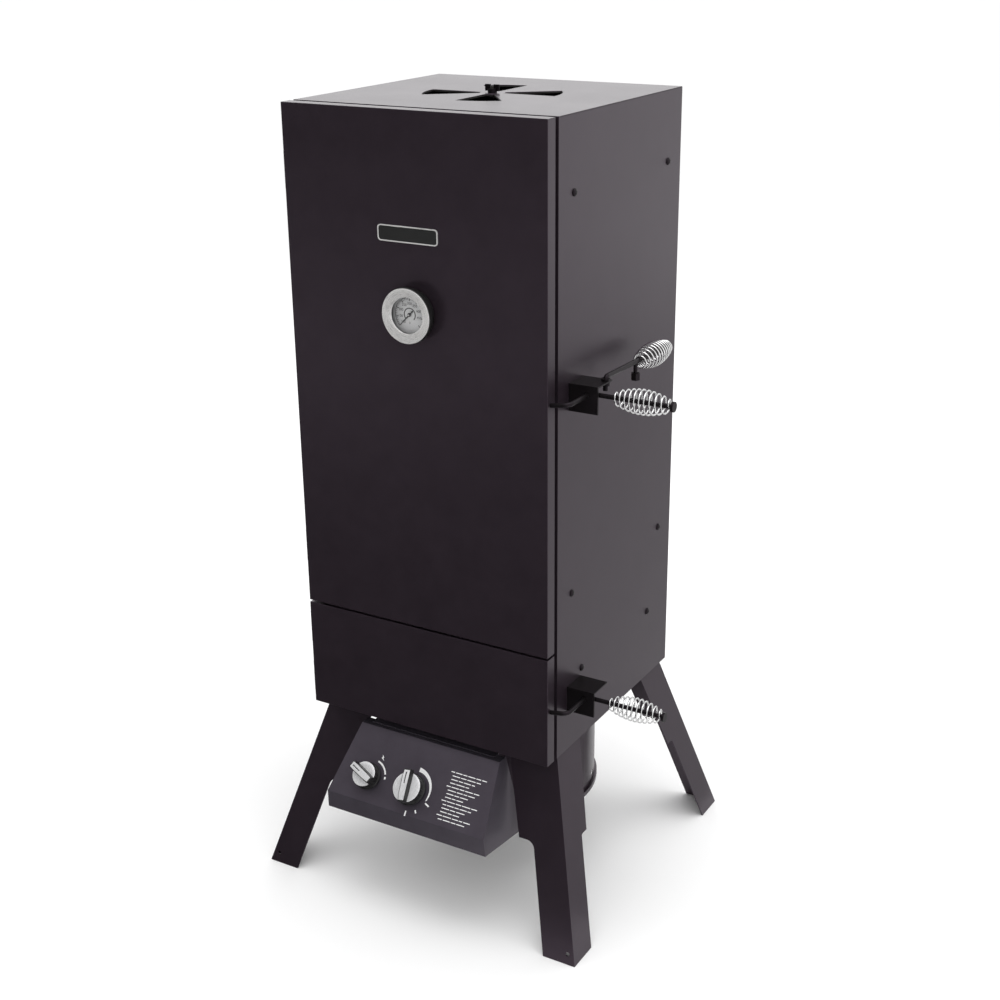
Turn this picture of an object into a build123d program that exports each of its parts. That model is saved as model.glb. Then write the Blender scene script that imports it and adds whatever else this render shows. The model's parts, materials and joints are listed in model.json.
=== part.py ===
from build123d import *
import math
import os

# Vertical gas cabinet smoker. Millimetres, +Z up, X to the right, the doors face -Y.
# The origin is on the ground, at the centre of the four feet.

# --- driving dimensions -------------------------------------------------------------
CABINET_WIDTH = 406.0
CABINET_FRONT = -178.0
CABINET_BACK = 188.0
CABINET_BOTTOM = 282.5
CABINET_TOP = 1180.0
SHEET = 1.2

DOOR_SEAM = 451.0
DOOR_GAP = 3.5
DOOR_FRONT = -205.8
DOOR_BACK = -186.0
DOOR_LIP = 8.0
JAMB = 20.0
MOVING_GAP = 0.3

FLOOR_PAN = 300.0
FLOOR_OPENING_RADIUS = 120.0

FOOT_X = 274.0
FOOT_Y = 254.0
LEG_TOP_X = 197.0
LEG_TOP_FRONT = -167.0
LEG_TOP_BACK = 176.0
LEG_SHEET = 2.0
LEG_WIDTH = 52.0
LEG_STEP_HEIGHT = 153.0
LEG_FRONT_HEAD = (76.0, 80.5)
LEG_FRONT_FILLET = 14.0
LEG_SIDE_HEAD = (67.0, 70.0)
LEG_SIDE_FILLET = 4.0
LEG_TAB = 45.0

DRUM_RADIUS = 152.0
DRUM_BOTTOM = 109.0
DRUM_RIM_RADIUS = 156.0
DRUM_RIM_HEIGHT = 7.0
AIR_HOLE_LEVEL = 128.0
AIR_HOLES = 12
DRUM_FLANGE_RADIUS = 163.0

HINGE_OFFSET = 5.0
HINGE_Y = -183.0
HINGE_BARREL_RADIUS = 4.5
HINGE_PIN_RADIUS = 2.0
HINGE_PIN_PLAY = 0.05
HINGE_LENGTH = 50.0
HINGE_SHEET = 1.5
UPPER_HINGES = (540.0, 1090.0)
LOWER_HINGES = (325.0, 408.0)

RACK_LEVELS = (560.0, 700.0, 840.0, 980.0)
RACK_SCREW_SPACING = 141.0
RACK_SCREW_LEVELS = (525.0, 1081.0)
RACK_LEDGE_X = 172.0
PAN_RAIL_LEVEL = 395.0
PAN_SCREW_SPACING = 109.0

GRATE_HALF_X = 184.0
GRATE_FRONT = -162.0
GRATE_BACK = 168.0
GRATE_FRAME_RADIUS = 3.0
GRATE_WIRE_RADIUS = 1.75
GRATE_WIRES = 21

SCREW_HEAD_RADIUS = 5.2
SCREW_HEAD_HEIGHT = 3.0
SCREW_RADIUS = 2.4

LATCH_X = 230.0
LATCH_LEVELS = (820.0, 371.0)
LATCH_ROD_RADIUS = 3.2
LATCH_ROD_PLAY = 0.08
LATCH_TIP_Y = -198.0
LATCH_TIP_GAP = 0.5
LATCH_SHANK_Y = -140.0
LATCH_COIL_START = 266.0
LATCH_COIL_END = 347.0
LATCH_ROD_END = 349.0
BRACKET_FRONT = -148.5
BRACKET_BACK = -107.0
BRACKET_EDGE = 246.0
BRACKET_SHEET = 3.0
BRACKET_DROP = 25.0
BRACKET_RISE = 13.0
COIL_RADIUS = 17.5
COIL_END_RADIUS = 9.0
COIL_WALL = 1.0

LEVER_X = 240.0
LEVER_Y = -114.0
LEVER_RISE = 838.0
LEVER_COIL_FRONT = -15.0
LEVER_COIL_BACK = 79.0
LEVER_ROD_RADIUS = 3.5

DAMPER_INNER = 18.0
DAMPER_OUTER = 97.0
DAMPER_SLOT_ANGLE = 38.0
DAMPER_DISC_RADIUS = 106.0
DAMPER_STUD_RADIUS = 3.0
DAMPER_STUD_PLAY = 0.08

PANEL_TOP_HALF_WIDTH = 121.0
PANEL_FACE_HALF_WIDTH = 136.5
PANEL_FOOT_HALF_WIDTH = 138.0
PANEL_TOP_FRONT = (-200.0, 264.0)
PANEL_FACE_FOOT = (-274.5, 180.0)
PANEL_LIP_FOOT = (-272.0, 151.0)
PANEL_BACK_FOOT = (-170.0, 138.0)
PANEL_TOP_BACK = (-182.0, 264.0)
KNOB_DISTANCE = 75.0
IGNITER_X = -76.0
KNOB_REST_GAP = 4.5
KNOB_TRAVEL = 3.0
STEM_RADIUS = 4.0
STEM_PLAY = 0.07
INLET_RADIUS = 7.94
INLET_X = 36.0
LEAD_X = -45.0
LEAD_LEVEL = 182.5
LEAD_RADIUS = 1.5
LEAD_BENDS = [20.0, 18.0, 18.0]

GAUGE_LEVEL = 916.0
GAUGE_RADIUS = 38.0
GAUGE_CUP_RADIUS = 35.5
GAUGE_CAVITY_RADIUS = 31.5
GAUGE_DEPTH = 17.0
GAUGE_FRONT = 21.0
BEZEL_WINDOW_RADIUS = 24.5

PLATE_X = -6.0
PLATE_LEVEL = 1020.0
PLATE_SIZE = (94.0, 22.0)

# --- derived places -----------------------------------------------------------------
SIDE = CABINET_WIDTH / 2
INNER = SIDE - SHEET
CENTRE_Y = (CABINET_FRONT + CABINET_BACK) / 2
HINGE_X = -SIDE - HINGE_OFFSET
ROOF_UNDERSIDE = CABINET_TOP - SHEET
UPPER_DOOR_BOTTOM = DOOR_SEAM + DOOR_GAP / 2
LOWER_DOOR_TOP = DOOR_SEAM - DOOR_GAP / 2
FACE_RUN = (PANEL_FACE_FOOT[0] - PANEL_TOP_FRONT[0], PANEL_FACE_FOOT[1] - PANEL_TOP_FRONT[1])
FACE_LENGTH = math.hypot(*FACE_RUN)
FACE_DOWN = Vector(0, FACE_RUN[0] / FACE_LENGTH, FACE_RUN[1] / FACE_LENGTH)
FACE_NORMAL = Vector(0, FACE_DOWN.Z, -FACE_DOWN.Y)
KNOB_CENTRE = Vector(0, *PANEL_TOP_FRONT) + FACE_DOWN * KNOB_DISTANCE
VENTURI_LEVEL = (KNOB_CENTRE - FACE_NORMAL * 30).Z
BURNER_BASE = VENTURI_LEVEL - 15.0
DRUM_INNER = DRUM_RADIUS - SHEET
STAND_UP = (Align.CENTER, Align.CENTER, Align.MIN)


# --- shape helpers ------------------------------------------------------------------
def block(x, y, z):
    """A box from three (low, high) pairs."""
    size = [high - low for low, high in (x, y, z)]
    middle = [(high + low) / 2 for low, high in (x, y, z)]
    return Pos(*middle) * Box(*size)


def bar(start, end, radius):
    """A round bar from one point to another."""
    run = Vector(*end) - Vector(*start)
    return Plane(origin=start, z_dir=run) * Cylinder(radius, run.length, align=STAND_UP)


def plate(points, direction, thickness):
    """A flat plate whose outline is a list of points in space."""
    return extrude(make_face(Polyline(*points, close=True)), amount=thickness, dir=direction)


def bent_rod(points, radii, radius):
    """A round rod that follows straight runs joined by arcs."""
    path = FilletPolyline(*points, radius=radii)
    section = Plane(origin=path @ 0, z_dir=path % 0) * Circle(radius)
    return sweep(section, path=path)


def hexagon(start, end, radius):
    """A hexagonal nut or bolt head between two points on its axis."""
    run = Vector(*end) - Vector(*start)
    outline = Plane(origin=start, z_dir=run) * RegularPolygon(radius, 6)
    return extrude(outline, amount=run.length, dir=run)


def both_sides(shape):
    """A shape and its mirror image across the middle of the cabinet."""
    return shape, mirror(shape, about=Plane.YZ)


def save(name, *solids):
    """Write one sub-part, which can be a group of separate solids."""
    pieces = [piece for solid in solids for piece in solid.solids()]
    shape = pieces[0] if len(pieces) == 1 else Compound(children=pieces)
    export_step(shape, f"parts/{name}.step")


# --- cabinet ------------------------------------------------------------------------
def side_panel(sign):
    """A side wall with its front edge folded in as the door jamb."""
    wall = block((INNER, SIDE), (CABINET_FRONT, CABINET_BACK), (CABINET_BOTTOM, ROOF_UNDERSIDE))
    jamb_y = (CABINET_FRONT, CABINET_FRONT + SHEET)
    jamb = block((SIDE - JAMB, SIDE), jamb_y, (CABINET_BOTTOM, ROOF_UNDERSIDE))
    panel = wall + jamb
    for y, z in rack_screw_points() + pan_screw_points():
        panel -= bar((INNER - 1, y, z), (SIDE + 1, y, z), SCREW_RADIUS)
    if sign > 0:
        for level in LATCH_LEVELS:
            for y, z in bracket_screw_points(level):
                panel -= bar((INNER - 1, y, z), (SIDE + 1, y, z), SCREW_RADIUS)
        return panel
    return mirror(panel, about=Plane.YZ)


def back_panel():
    """The rear wall with a fold along each side."""
    wall = block((-INNER, INNER), (CABINET_BACK - SHEET, CABINET_BACK), (CABINET_BOTTOM + 1, ROOF_UNDERSIDE))
    fold_y = (CABINET_BACK - 18, CABINET_BACK - SHEET)
    fold = block((INNER - SHEET, INNER), fold_y, (FLOOR_PAN + 5, ROOF_UNDERSIDE - 20))
    left, right = both_sides(fold)
    return wall + left + right


def damper_slots(z_low, z_high):
    """Four wedge-shaped slots that turn round the centre like a pinwheel."""
    ring = Cylinder(DAMPER_OUTER, z_high - z_low, align=STAND_UP)
    ring -= Cylinder(DAMPER_INNER, z_high - z_low, align=STAND_UP)
    reach = DAMPER_OUTER * 1.5
    angle = math.radians(DAMPER_SLOT_ANGLE)
    corner = (reach * math.cos(angle), reach * math.sin(angle))
    wedge = extrude(make_face(Polyline((0, 0), (reach, 0), corner, close=True)), amount=z_high - z_low)
    slot = Pos(0, CENTRE_Y, z_low) * (ring & wedge)
    spin = Axis((0, CENTRE_Y, 0), (0, 0, 1))
    return [slot.rotate(spin, turn) for turn in (0, 90, 180, 270)]


def roof():
    """The top sheet with folded edges, the damper slots and the stud hole."""
    sheet_z = (ROOF_UNDERSIDE, CABINET_TOP)
    top = block((-SIDE, SIDE), (CABINET_FRONT, CABINET_BACK), sheet_z)
    header_y = (CABINET_FRONT, CABINET_FRONT + SHEET)
    top += block((JAMB - SIDE, SIDE - JAMB), header_y, (ROOF_UNDERSIDE - JAMB, ROOF_UNDERSIDE))
    for fold in both_sides(block((INNER - SHEET, INNER), (-160, 165), (ROOF_UNDERSIDE - 14, ROOF_UNDERSIDE))):
        top += fold
    for slot in damper_slots(ROOF_UNDERSIDE - 5, CABINET_TOP + 5):
        top -= slot
    hole = DAMPER_STUD_RADIUS + DAMPER_STUD_PLAY
    return top - bar((0, CENTRE_Y, ROOF_UNDERSIDE - 5), (0, CENTRE_Y, CABINET_TOP + 5), hole)


def floor_pan():
    """The cabinet floor, folded down all round, with the opening above the burner."""
    inner_back = CABINET_BACK - SHEET
    pan = block((-INNER, INNER), (CABINET_FRONT + SHEET, inner_back), (FLOOR_PAN, FLOOR_PAN + SHEET))
    skirt_z = (CABINET_BOTTOM + 1, FLOOR_PAN)
    for skirt in both_sides(block((INNER - SHEET, INNER), (CABINET_FRONT + SHEET, inner_back), skirt_z)):
        pan += skirt
    pan += block((-INNER, INNER), (inner_back - SHEET, inner_back), skirt_z)
    sill_z = (CABINET_BOTTOM + 1, FLOOR_PAN + SHEET)
    pan += block((JAMB - SIDE, SIDE - JAMB), (CABINET_FRONT, CABINET_FRONT + SHEET), sill_z)
    pan -= bar((0, CENTRE_Y, FLOOR_PAN - 5), (0, CENTRE_Y, FLOOR_PAN + 5), FLOOR_OPENING_RADIUS)
    for x, y in hex_bolt_points():
        pan -= bar((x, y, FLOOR_PAN - 5), (x, y, FLOOR_PAN + 5), 3.0)
    return pan


def door_divider():
    """The rail behind the seam between the two doors."""
    rail_x = (JAMB - SIDE, SIDE - JAMB)
    face = block(rail_x, (CABINET_FRONT, CABINET_FRONT + SHEET), (DOOR_SEAM - 12, DOOR_SEAM + 12))
    shelf = block(rail_x, (CABINET_FRONT, CABINET_FRONT + 14), (DOOR_SEAM + 12 - SHEET, DOOR_SEAM + 12))
    return face + shelf


def door_seal(z_low, z_high):
    """A rectangular loop of gasket round one door opening."""
    seal_y = (DOOR_BACK + MOVING_GAP, CABINET_FRONT)
    outer = block((5 - SIDE, SIDE - 5), seal_y, (z_low + 4, z_high - 4))
    hole = block((15 - SIDE, SIDE - 15), (seal_y[0] - 1, seal_y[1] + 1), (z_low + 14, z_high - 14))
    return outer - hole


# --- legs ---------------------------------------------------------------------------
def leg_corner(foot_y, top_y, z):
    """The outer corner of a right-hand leg at a height."""
    share = z / CABINET_BOTTOM
    return Vector(FOOT_X + (LEG_TOP_X - FOOT_X) * share, foot_y + (top_y - foot_y) * share, z)


def leg_flange(foot_y, top_y, inward, head, radius, direction):
    """One folded side of a leg: narrow below, with a rounded step out to its head."""
    profile = ((-10, LEG_WIDTH), (LEG_STEP_HEIGHT, LEG_WIDTH), (LEG_STEP_HEIGHT, head[0]), (FLOOR_PAN, head[1]))
    points = [leg_corner(foot_y, top_y, z) for z in (FLOOR_PAN, -10)]
    points += [leg_corner(foot_y, top_y, z) + inward * width for z, width in profile]
    outline = make_face(Polyline(*points, close=True))
    step = outline.vertices().sort_by_distance(points[3])[0]
    return extrude(fillet(step, radius), amount=LEG_SHEET, dir=direction)


def leg(foot_y, top_y, sign):
    """A splayed angle leg with a bolting tab under the cabinet floor."""
    back = 1 if foot_y < 0 else -1
    slope = leg_corner(foot_y, top_y, 1) - leg_corner(foot_y, top_y, 0)
    into_front = slope.cross(Vector(1, 0, 0)).normalized()
    into_front = into_front * math.copysign(1, into_front.Y * back)
    into_side = slope.cross(Vector(0, 1, 0)).normalized()
    into_side = into_side * math.copysign(1, -into_side.X)
    across, along = Vector(-1, 0, 0), Vector(0, back, 0)
    front = leg_flange(foot_y, top_y, across, LEG_FRONT_HEAD, LEG_FRONT_FILLET, into_front)
    side = leg_flange(foot_y, top_y, along, LEG_SIDE_HEAD, LEG_SIDE_FILLET, into_side)
    head = leg_corner(foot_y, top_y, FLOOR_PAN)
    tab_y = sorted((head.Y, head.Y + back * LEG_TAB))
    tab = block((head.X - LEG_TAB, head.X), tab_y, (FLOOR_PAN - LEG_SHEET, FLOOR_PAN))
    shape = front + side + tab
    keep_y = sorted((foot_y - back * 50, top_y + back * 150))
    shape &= block((0, FOOT_X + 50), keep_y, (0, FLOOR_PAN))
    hole = leg_corner(foot_y, top_y, 14) + Vector(-10, 0, 0)
    shape -= bar(hole - Vector(0, 20, 0), hole + Vector(0, 20, 0), 3.0)
    for x, y in leg_bolt_points(foot_y, top_y):
        shape -= bar((x, y, FLOOR_PAN - 5), (x, y, FLOOR_PAN + 5), 3.0)
    return shape if sign > 0 else mirror(shape, about=Plane.YZ)


def leg_bolt_points(foot_y, top_y):
    """Two bolts through the tab of a right-hand leg."""
    back = 1 if foot_y < 0 else -1
    head = leg_corner(foot_y, top_y, FLOOR_PAN)
    return [(head.X - across, head.Y + back * along) for across, along in ((14, 32), (32, 14))]


def hex_bolt_points():
    """Every bolt through the cabinet floor: two for each leg and four for the drum."""
    right = leg_bolt_points(-FOOT_Y, LEG_TOP_FRONT) + leg_bolt_points(FOOT_Y, LEG_TOP_BACK)
    points = right + [(-x, y) for x, y in right]
    middle = (DRUM_RADIUS + DRUM_FLANGE_RADIUS) / 2
    for turn in (45, 135, 225, 315):
        angle = math.radians(turn)
        points.append((middle * math.cos(angle), CENTRE_Y + middle * math.sin(angle)))
    return points


def hex_bolts():
    """Bolts through the cabinet floor, with the head below and the nut above."""
    bolts = []
    legs = len(hex_bolt_points()) - 4
    for number, (x, y) in enumerate(hex_bolt_points()):
        under = FLOOR_PAN - (LEG_SHEET if number < legs else SHEET)
        bolt = bar((x, y, under), (x, y, FLOOR_PAN + SHEET), 3.0)
        bolt += hexagon((x, y, under - 4), (x, y, under), 5.5)
        bolt += hexagon((x, y, FLOOR_PAN + SHEET), (x, y, FLOOR_PAN + SHEET + 4.5), 5.5)
        bolts.append(bolt)
    return bolts


# --- screws in the side walls -------------------------------------------------------
def rack_screw_points():
    return [(CENTRE_Y + y, z) for y in (-RACK_SCREW_SPACING, RACK_SCREW_SPACING) for z in RACK_SCREW_LEVELS]


def pan_screw_points():
    return [(CENTRE_Y + y, PAN_RAIL_LEVEL) for y in (-PAN_SCREW_SPACING, PAN_SCREW_SPACING)]


def bracket_screw_points(level):
    return [(-117.0, level - 17), (-117.0, level + 3)]


def pan_head_screw(y, z, inside, seat):
    """A domed screw on the right wall; its nut bears on inside and its head on seat."""
    screw = bar((inside, y, z), (seat, y, z), SCREW_RADIUS)
    head = bar((seat, y, z), (seat + SCREW_HEAD_HEIGHT, y, z), SCREW_HEAD_RADIUS)
    rim = head.edges().filter_by(GeomType.CIRCLE).sort_by(Axis.X)[-1]
    screw += fillet(rim, SCREW_HEAD_HEIGHT * 0.8)
    return screw + hexagon((inside - 3, y, z), (inside, y, z), 4.6)


def side_screws():
    """The screws that hold the racks, the pan rails and the latch brackets."""
    screws = []
    for y, z in rack_screw_points() + pan_screw_points():
        screws += both_sides(pan_head_screw(y, z, INNER - HINGE_SHEET, SIDE))
    for level in LATCH_LEVELS:
        for y, z in bracket_screw_points(level):
            screws.append(pan_head_screw(y, z, INNER, SIDE + BRACKET_SHEET))
    return screws


# --- inside the chamber -------------------------------------------------------------
def grate_rack(sign):
    """Two uprights on a side wall that carry a ledge for each cooking grate."""
    upright_x = (INNER - HINGE_SHEET, INNER)
    levels = (RACK_SCREW_LEVELS[0] - 12, RACK_SCREW_LEVELS[1] + 12)
    rack = None
    for y in (CENTRE_Y - RACK_SCREW_SPACING, CENTRE_Y + RACK_SCREW_SPACING):
        upright = block(upright_x, (y - 10, y + 10), levels)
        rack = upright if rack is None else rack + upright
    for level in RACK_LEVELS:
        rack += block((RACK_LEDGE_X, INNER), (GRATE_FRONT, 165), (level, level + HINGE_SHEET))
        rack += block((RACK_LEDGE_X, RACK_LEDGE_X + HINGE_SHEET), (GRATE_FRONT, 165), (level - 8, level))
    for y, z in rack_screw_points():
        rack -= bar((INNER - 5, y, z), (INNER + 1, y, z), SCREW_RADIUS)
    return rack if sign > 0 else mirror(rack, about=Plane.YZ)


def cooking_grate(level):
    """A wire grate: a round-bar frame with wires from front to back and two cross bars."""
    z = level + HINGE_SHEET + GRATE_FRAME_RADIUS
    x = GRATE_HALF_X - GRATE_FRAME_RADIUS
    front = GRATE_FRONT + GRATE_FRAME_RADIUS
    back = GRATE_BACK - GRATE_FRAME_RADIUS
    corners = [(-x, front, z), (x, front, z), (x, back, z), (-x, back, z)]
    grate = None
    for start, end in zip(corners, corners[1:] + corners[:1]):
        run = (Vector(*end) - Vector(*start)).normalized() * (GRATE_FRAME_RADIUS * 0.9)
        side = bar(Vector(*start) - run, Vector(*end) + run, GRATE_FRAME_RADIUS)
        grate = side if grate is None else grate + side
    wire_z = z + GRATE_FRAME_RADIUS + GRATE_WIRE_RADIUS - 0.8
    wires = []
    for number in range(GRATE_WIRES):
        wire_x = -x + 2 * x * (number + 1) / (GRATE_WIRES + 1)
        wires.append(bar((wire_x, front - 2, wire_z), (wire_x, back + 2, wire_z), GRATE_WIRE_RADIUS))
    cross_z = wire_z - 2 * GRATE_WIRE_RADIUS + 0.6
    for y in (front + (back - front) / 3, back - (back - front) / 3):
        wires.append(bar((-x, y, cross_z), (x, y, cross_z), GRATE_WIRE_RADIUS))
    return grate.fuse(*wires)


def pan_rail(sign):
    """An angle rail on a side wall that carries one edge of the water pan."""
    rail_y = (CENTRE_Y - 120, CENTRE_Y + 120)
    rail = block((INNER - HINGE_SHEET, INNER), rail_y, (PAN_RAIL_LEVEL - 10, PAN_RAIL_LEVEL + 18))
    rail += block((170, INNER), rail_y, (PAN_RAIL_LEVEL - 10, PAN_RAIL_LEVEL - 10 + HINGE_SHEET))
    for y, z in pan_screw_points():
        rail -= bar((INNER - 5, y, z), (INNER + 1, y, z), SCREW_RADIUS)
    return rail if sign > 0 else mirror(rail, about=Plane.YZ)


def open_tray(half_x, half_y, rim, z_low, z_high, wall):
    """A rectangular tray with an outward rim and rounded corners."""
    def rounded(x, y, low, high, radius):
        outline = Plane.XY.offset(low) * Pos(0, CENTRE_Y, 0) * RectangleRounded(2 * x, 2 * y, radius)
        return extrude(outline, amount=high - low)

    tray = rounded(half_x, half_y, z_low, z_high, 18)
    tray += rounded(half_x + rim, half_y + rim, z_high - wall, z_high, 18)
    return tray - rounded(half_x - wall, half_y - wall, z_low + wall, z_high + 5, 18 - wall)


def water_pan():
    """The water pan, hung by its rim on the pan rails."""
    rest = PAN_RAIL_LEVEL - 10 + HINGE_SHEET
    return open_tray(164, 118, 14, rest - 42, rest + HINGE_SHEET, HINGE_SHEET)


def chip_tray_rails():
    """Two flat bars across the floor opening, under the wood chip tray."""
    rail_z = (FLOOR_PAN + SHEET, FLOOR_PAN + SHEET + 3)
    return [block((-135, 135), (CENTRE_Y + y - 8, CENTRE_Y + y + 8), rail_z) for y in (-45, 45)]


def wood_chip_tray():
    """The tray for wood chips, over the burner."""
    base = FLOOR_PAN + SHEET + 3
    return open_tray(95, 70, 6, base, base + 34, 2.0)


# --- burner -------------------------------------------------------------------------
def burner_drum():
    """The round shroud under the floor, open at both ends, that surrounds the burner."""
    def ring(outer, low, high):
        wall = bar((0, CENTRE_Y, low), (0, CENTRE_Y, high), outer)
        return wall - bar((0, CENTRE_Y, low - 1), (0, CENTRE_Y, high + 1), DRUM_INNER)

    drum = ring(DRUM_RADIUS, DRUM_BOTTOM, FLOOR_PAN)
    drum += ring(DRUM_FLANGE_RADIUS, FLOOR_PAN - SHEET, FLOOR_PAN)
    drum += ring(DRUM_RIM_RADIUS, DRUM_BOTTOM, DRUM_BOTTOM + DRUM_RIM_HEIGHT)
    for number in range(AIR_HOLES):
        angle = math.radians((number + 0.5) * 360 / AIR_HOLES)
        reach = Vector(math.cos(angle), math.sin(angle), 0)
        middle = Vector(0, CENTRE_Y, AIR_HOLE_LEVEL)
        drum -= bar(middle + reach * (DRUM_RADIUS - 10), middle + reach * (DRUM_RADIUS + 10), 5.0)
    drum -= bar((0, CENTRE_Y - 160, VENTURI_LEVEL), (0, CENTRE_Y - 120, VENTURI_LEVEL), 16.0)
    drum -= bar((LEAD_X, CENTRE_Y - 160, LEAD_LEVEL), (LEAD_X, CENTRE_Y - 110, LEAD_LEVEL), 4.0)
    for x, y in hex_bolt_points()[-4:]:
        drum -= bar((x, y, FLOOR_PAN - 5), (x, y, FLOOR_PAN + 5), 3.0)
    return drum


def burner_bracket():
    """A strap across the drum that carries the burner."""
    reach = DRUM_INNER - 0.4
    strap = block((-reach, reach), (CENTRE_Y - 10, CENTRE_Y + 10), (BURNER_BASE - 2, BURNER_BASE))
    for end in both_sides(block((reach - 2, reach), (CENTRE_Y - 10, CENTRE_Y + 10), (BURNER_BASE - 18, BURNER_BASE))):
        strap += end
    return strap


def burner_head():
    """The cast round burner with a ring of flame ports and a socket for the venturi."""
    base = bar((0, CENTRE_Y, BURNER_BASE), (0, CENTRE_Y, BURNER_BASE + 26), 56.0)
    cap = bar((0, CENTRE_Y, BURNER_BASE + 26), (0, CENTRE_Y, BURNER_BASE + 31), 62.0)
    socket = bar((0, CENTRE_Y - 71, VENTURI_LEVEL), (0, CENTRE_Y - 40, VENTURI_LEVEL), 15.0)
    head = base + cap + socket
    for number in range(24):
        angle = math.radians(number * 15)
        reach = Vector(math.cos(angle), math.sin(angle), 0)
        middle = Vector(0, CENTRE_Y, BURNER_BASE + 23)
        if abs(number - 18) > 1:
            head -= bar(middle + reach * 48, middle + reach * 60, 2.0)
    return head


def burner_venturi():
    """The mixing tube from the gas jet to the burner, with a flared mouth."""
    mouth_y = -204.0
    end_y = CENTRE_Y - 71
    tube = bar((0, mouth_y, VENTURI_LEVEL), (0, end_y, VENTURI_LEVEL), 11.0)
    tube += bar((0, mouth_y, VENTURI_LEVEL), (0, mouth_y + 8, VENTURI_LEVEL), 14.0)
    tube -= bar((0, mouth_y - 1, VENTURI_LEVEL), (0, mouth_y + 6, VENTURI_LEVEL), 12.5)
    return tube - bar((0, mouth_y - 1, VENTURI_LEVEL), (0, end_y + 1, VENTURI_LEVEL), 9.8)


# --- control panel and gas train ----------------------------------------------------
def face_plane(x):
    """The plane of the sloping panel face at a knob, with Z pointing out of it."""
    centre = KNOB_CENTRE + Vector(x, 0, 0)
    return Plane(origin=centre, x_dir=(1, 0, 0), z_dir=FACE_NORMAL)


def on_face(x, low, high, radius):
    """A round bar square to the panel face, between two distances from it."""
    return face_plane(x) * Pos(0, 0, low) * Cylinder(radius, high - low, align=STAND_UP)


def panel_prism(profile, inset):
    """A solid with the panel's side profile, narrowed toward the top as the panel is."""
    foot = PANEL_FOOT_HALF_WIDTH - inset
    prism = plate([(-foot, y, z) for y, z in profile], Vector(1, 0, 0), 2 * foot)
    right = [
        (foot, 100),
        (foot, PANEL_LIP_FOOT[1]),
        (PANEL_FACE_HALF_WIDTH - inset, PANEL_FACE_FOOT[1]),
        (PANEL_TOP_HALF_WIDTH - inset, PANEL_TOP_FRONT[1]),
    ]
    left = [(-x, z) for x, z in reversed(right)]
    front_view = plate([(x, -300, z) for x, z in right + left], Vector(0, 1, 0), 200)
    return prism & front_view


def control_panel():
    """The sloping panel box, open behind, with the sheet that hangs it from the cabinet floor."""
    outline = (PANEL_TOP_BACK, PANEL_TOP_FRONT, PANEL_FACE_FOOT, PANEL_LIP_FOOT, PANEL_BACK_FOOT)
    hollow = (
        (-150, PANEL_TOP_BACK[1] - SHEET),
        (PANEL_TOP_FRONT[0] + 0.5 * SHEET, PANEL_TOP_FRONT[1] - SHEET),
        (PANEL_FACE_FOOT[0] + SHEET, PANEL_FACE_FOOT[1] - 0.3 * SHEET),
        (PANEL_LIP_FOOT[0] + SHEET, PANEL_LIP_FOOT[1]),
        (PANEL_LIP_FOOT[0] + SHEET, 120),
        (-150, 120),
    )
    panel = panel_prism(outline, 0) - panel_prism(hollow, SHEET)
    top = PANEL_TOP_FRONT[1]
    hanger_y = (-170 - SHEET, -170)
    hanger_x = (13 - PANEL_TOP_HALF_WIDTH, PANEL_TOP_HALF_WIDTH - 13)
    panel += block(hanger_x, (PANEL_TOP_BACK[0] - 10, -170), (top, top + SHEET))
    panel += block(hanger_x, hanger_y, (top, FLOOR_PAN))
    for x in (-100, 75):
        panel += block((x, x + 25), (hanger_y[0], -152), (FLOOR_PAN - SHEET, FLOOR_PAN))
    for x in (0, IGNITER_X):
        panel -= on_face(x, -3, 3, 6.0)
    return panel


def gas_valve():
    """The brass valve behind the panel, with the jet that feeds the venturi."""
    body = face_plane(0) * Pos(0, 0, -SHEET - 38) * Box(26, 26, 38, align=STAND_UP)
    middle = (KNOB_CENTRE - FACE_NORMAL * 30).Y
    body += bar((0, middle, VENTURI_LEVEL), (0, -206, VENTURI_LEVEL), 8.0)
    body += bar((0, -206, VENTURI_LEVEL), (0, -199, VENTURI_LEVEL), 4.0)
    return body - on_face(0, -14, 3, STEM_RADIUS + STEM_PLAY)


def gas_inlet():
    """The elbow on the side of the valve, with the flare fitting for a gas hose below it."""
    centre = KNOB_CENTRE - FACE_NORMAL * 22
    def at(x, drop=0):
        return (x, centre.Y, centre.Z - drop)

    fitting = bar(at(13), at(INLET_X), 7.0) + Pos(*at(INLET_X)) * Sphere(9)
    fitting += hexagon(at(INLET_X, 5), at(INLET_X, 18), 10.5)
    fitting += bar(at(INLET_X, 18), at(INLET_X, 34), INLET_RADIUS)
    nose = Plane(origin=at(INLET_X, 34), z_dir=(0, 0, -1)) * Cone(INLET_RADIUS - 1, 3.5, 4, align=STAND_UP)
    return fitting + nose - bar(at(INLET_X), at(INLET_X, 40), 2.5)


def igniter_body():
    """The rotary spark generator behind the panel."""
    body = on_face(IGNITER_X, -30, -SHEET, 11.0) + on_face(IGNITER_X, -36, -30, 5.0)
    return body - on_face(IGNITER_X, -14, 3, STEM_RADIUS + STEM_PLAY)


def ignition_lead():
    """The spark lead, clipped behind the panel and run into the drum."""
    start = KNOB_CENTRE + Vector(IGNITER_X, 0, 0) - FACE_NORMAL * 36
    points = [start, start - FACE_NORMAL * 22, (-52, -176, LEAD_LEVEL - 2)]
    points += [(LEAD_X, -148, LEAD_LEVEL), (LEAD_X, -98, LEAD_LEVEL)]
    return bent_rod([Vector(*point) for point in points], LEAD_BENDS, LEAD_RADIUS)


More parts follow.
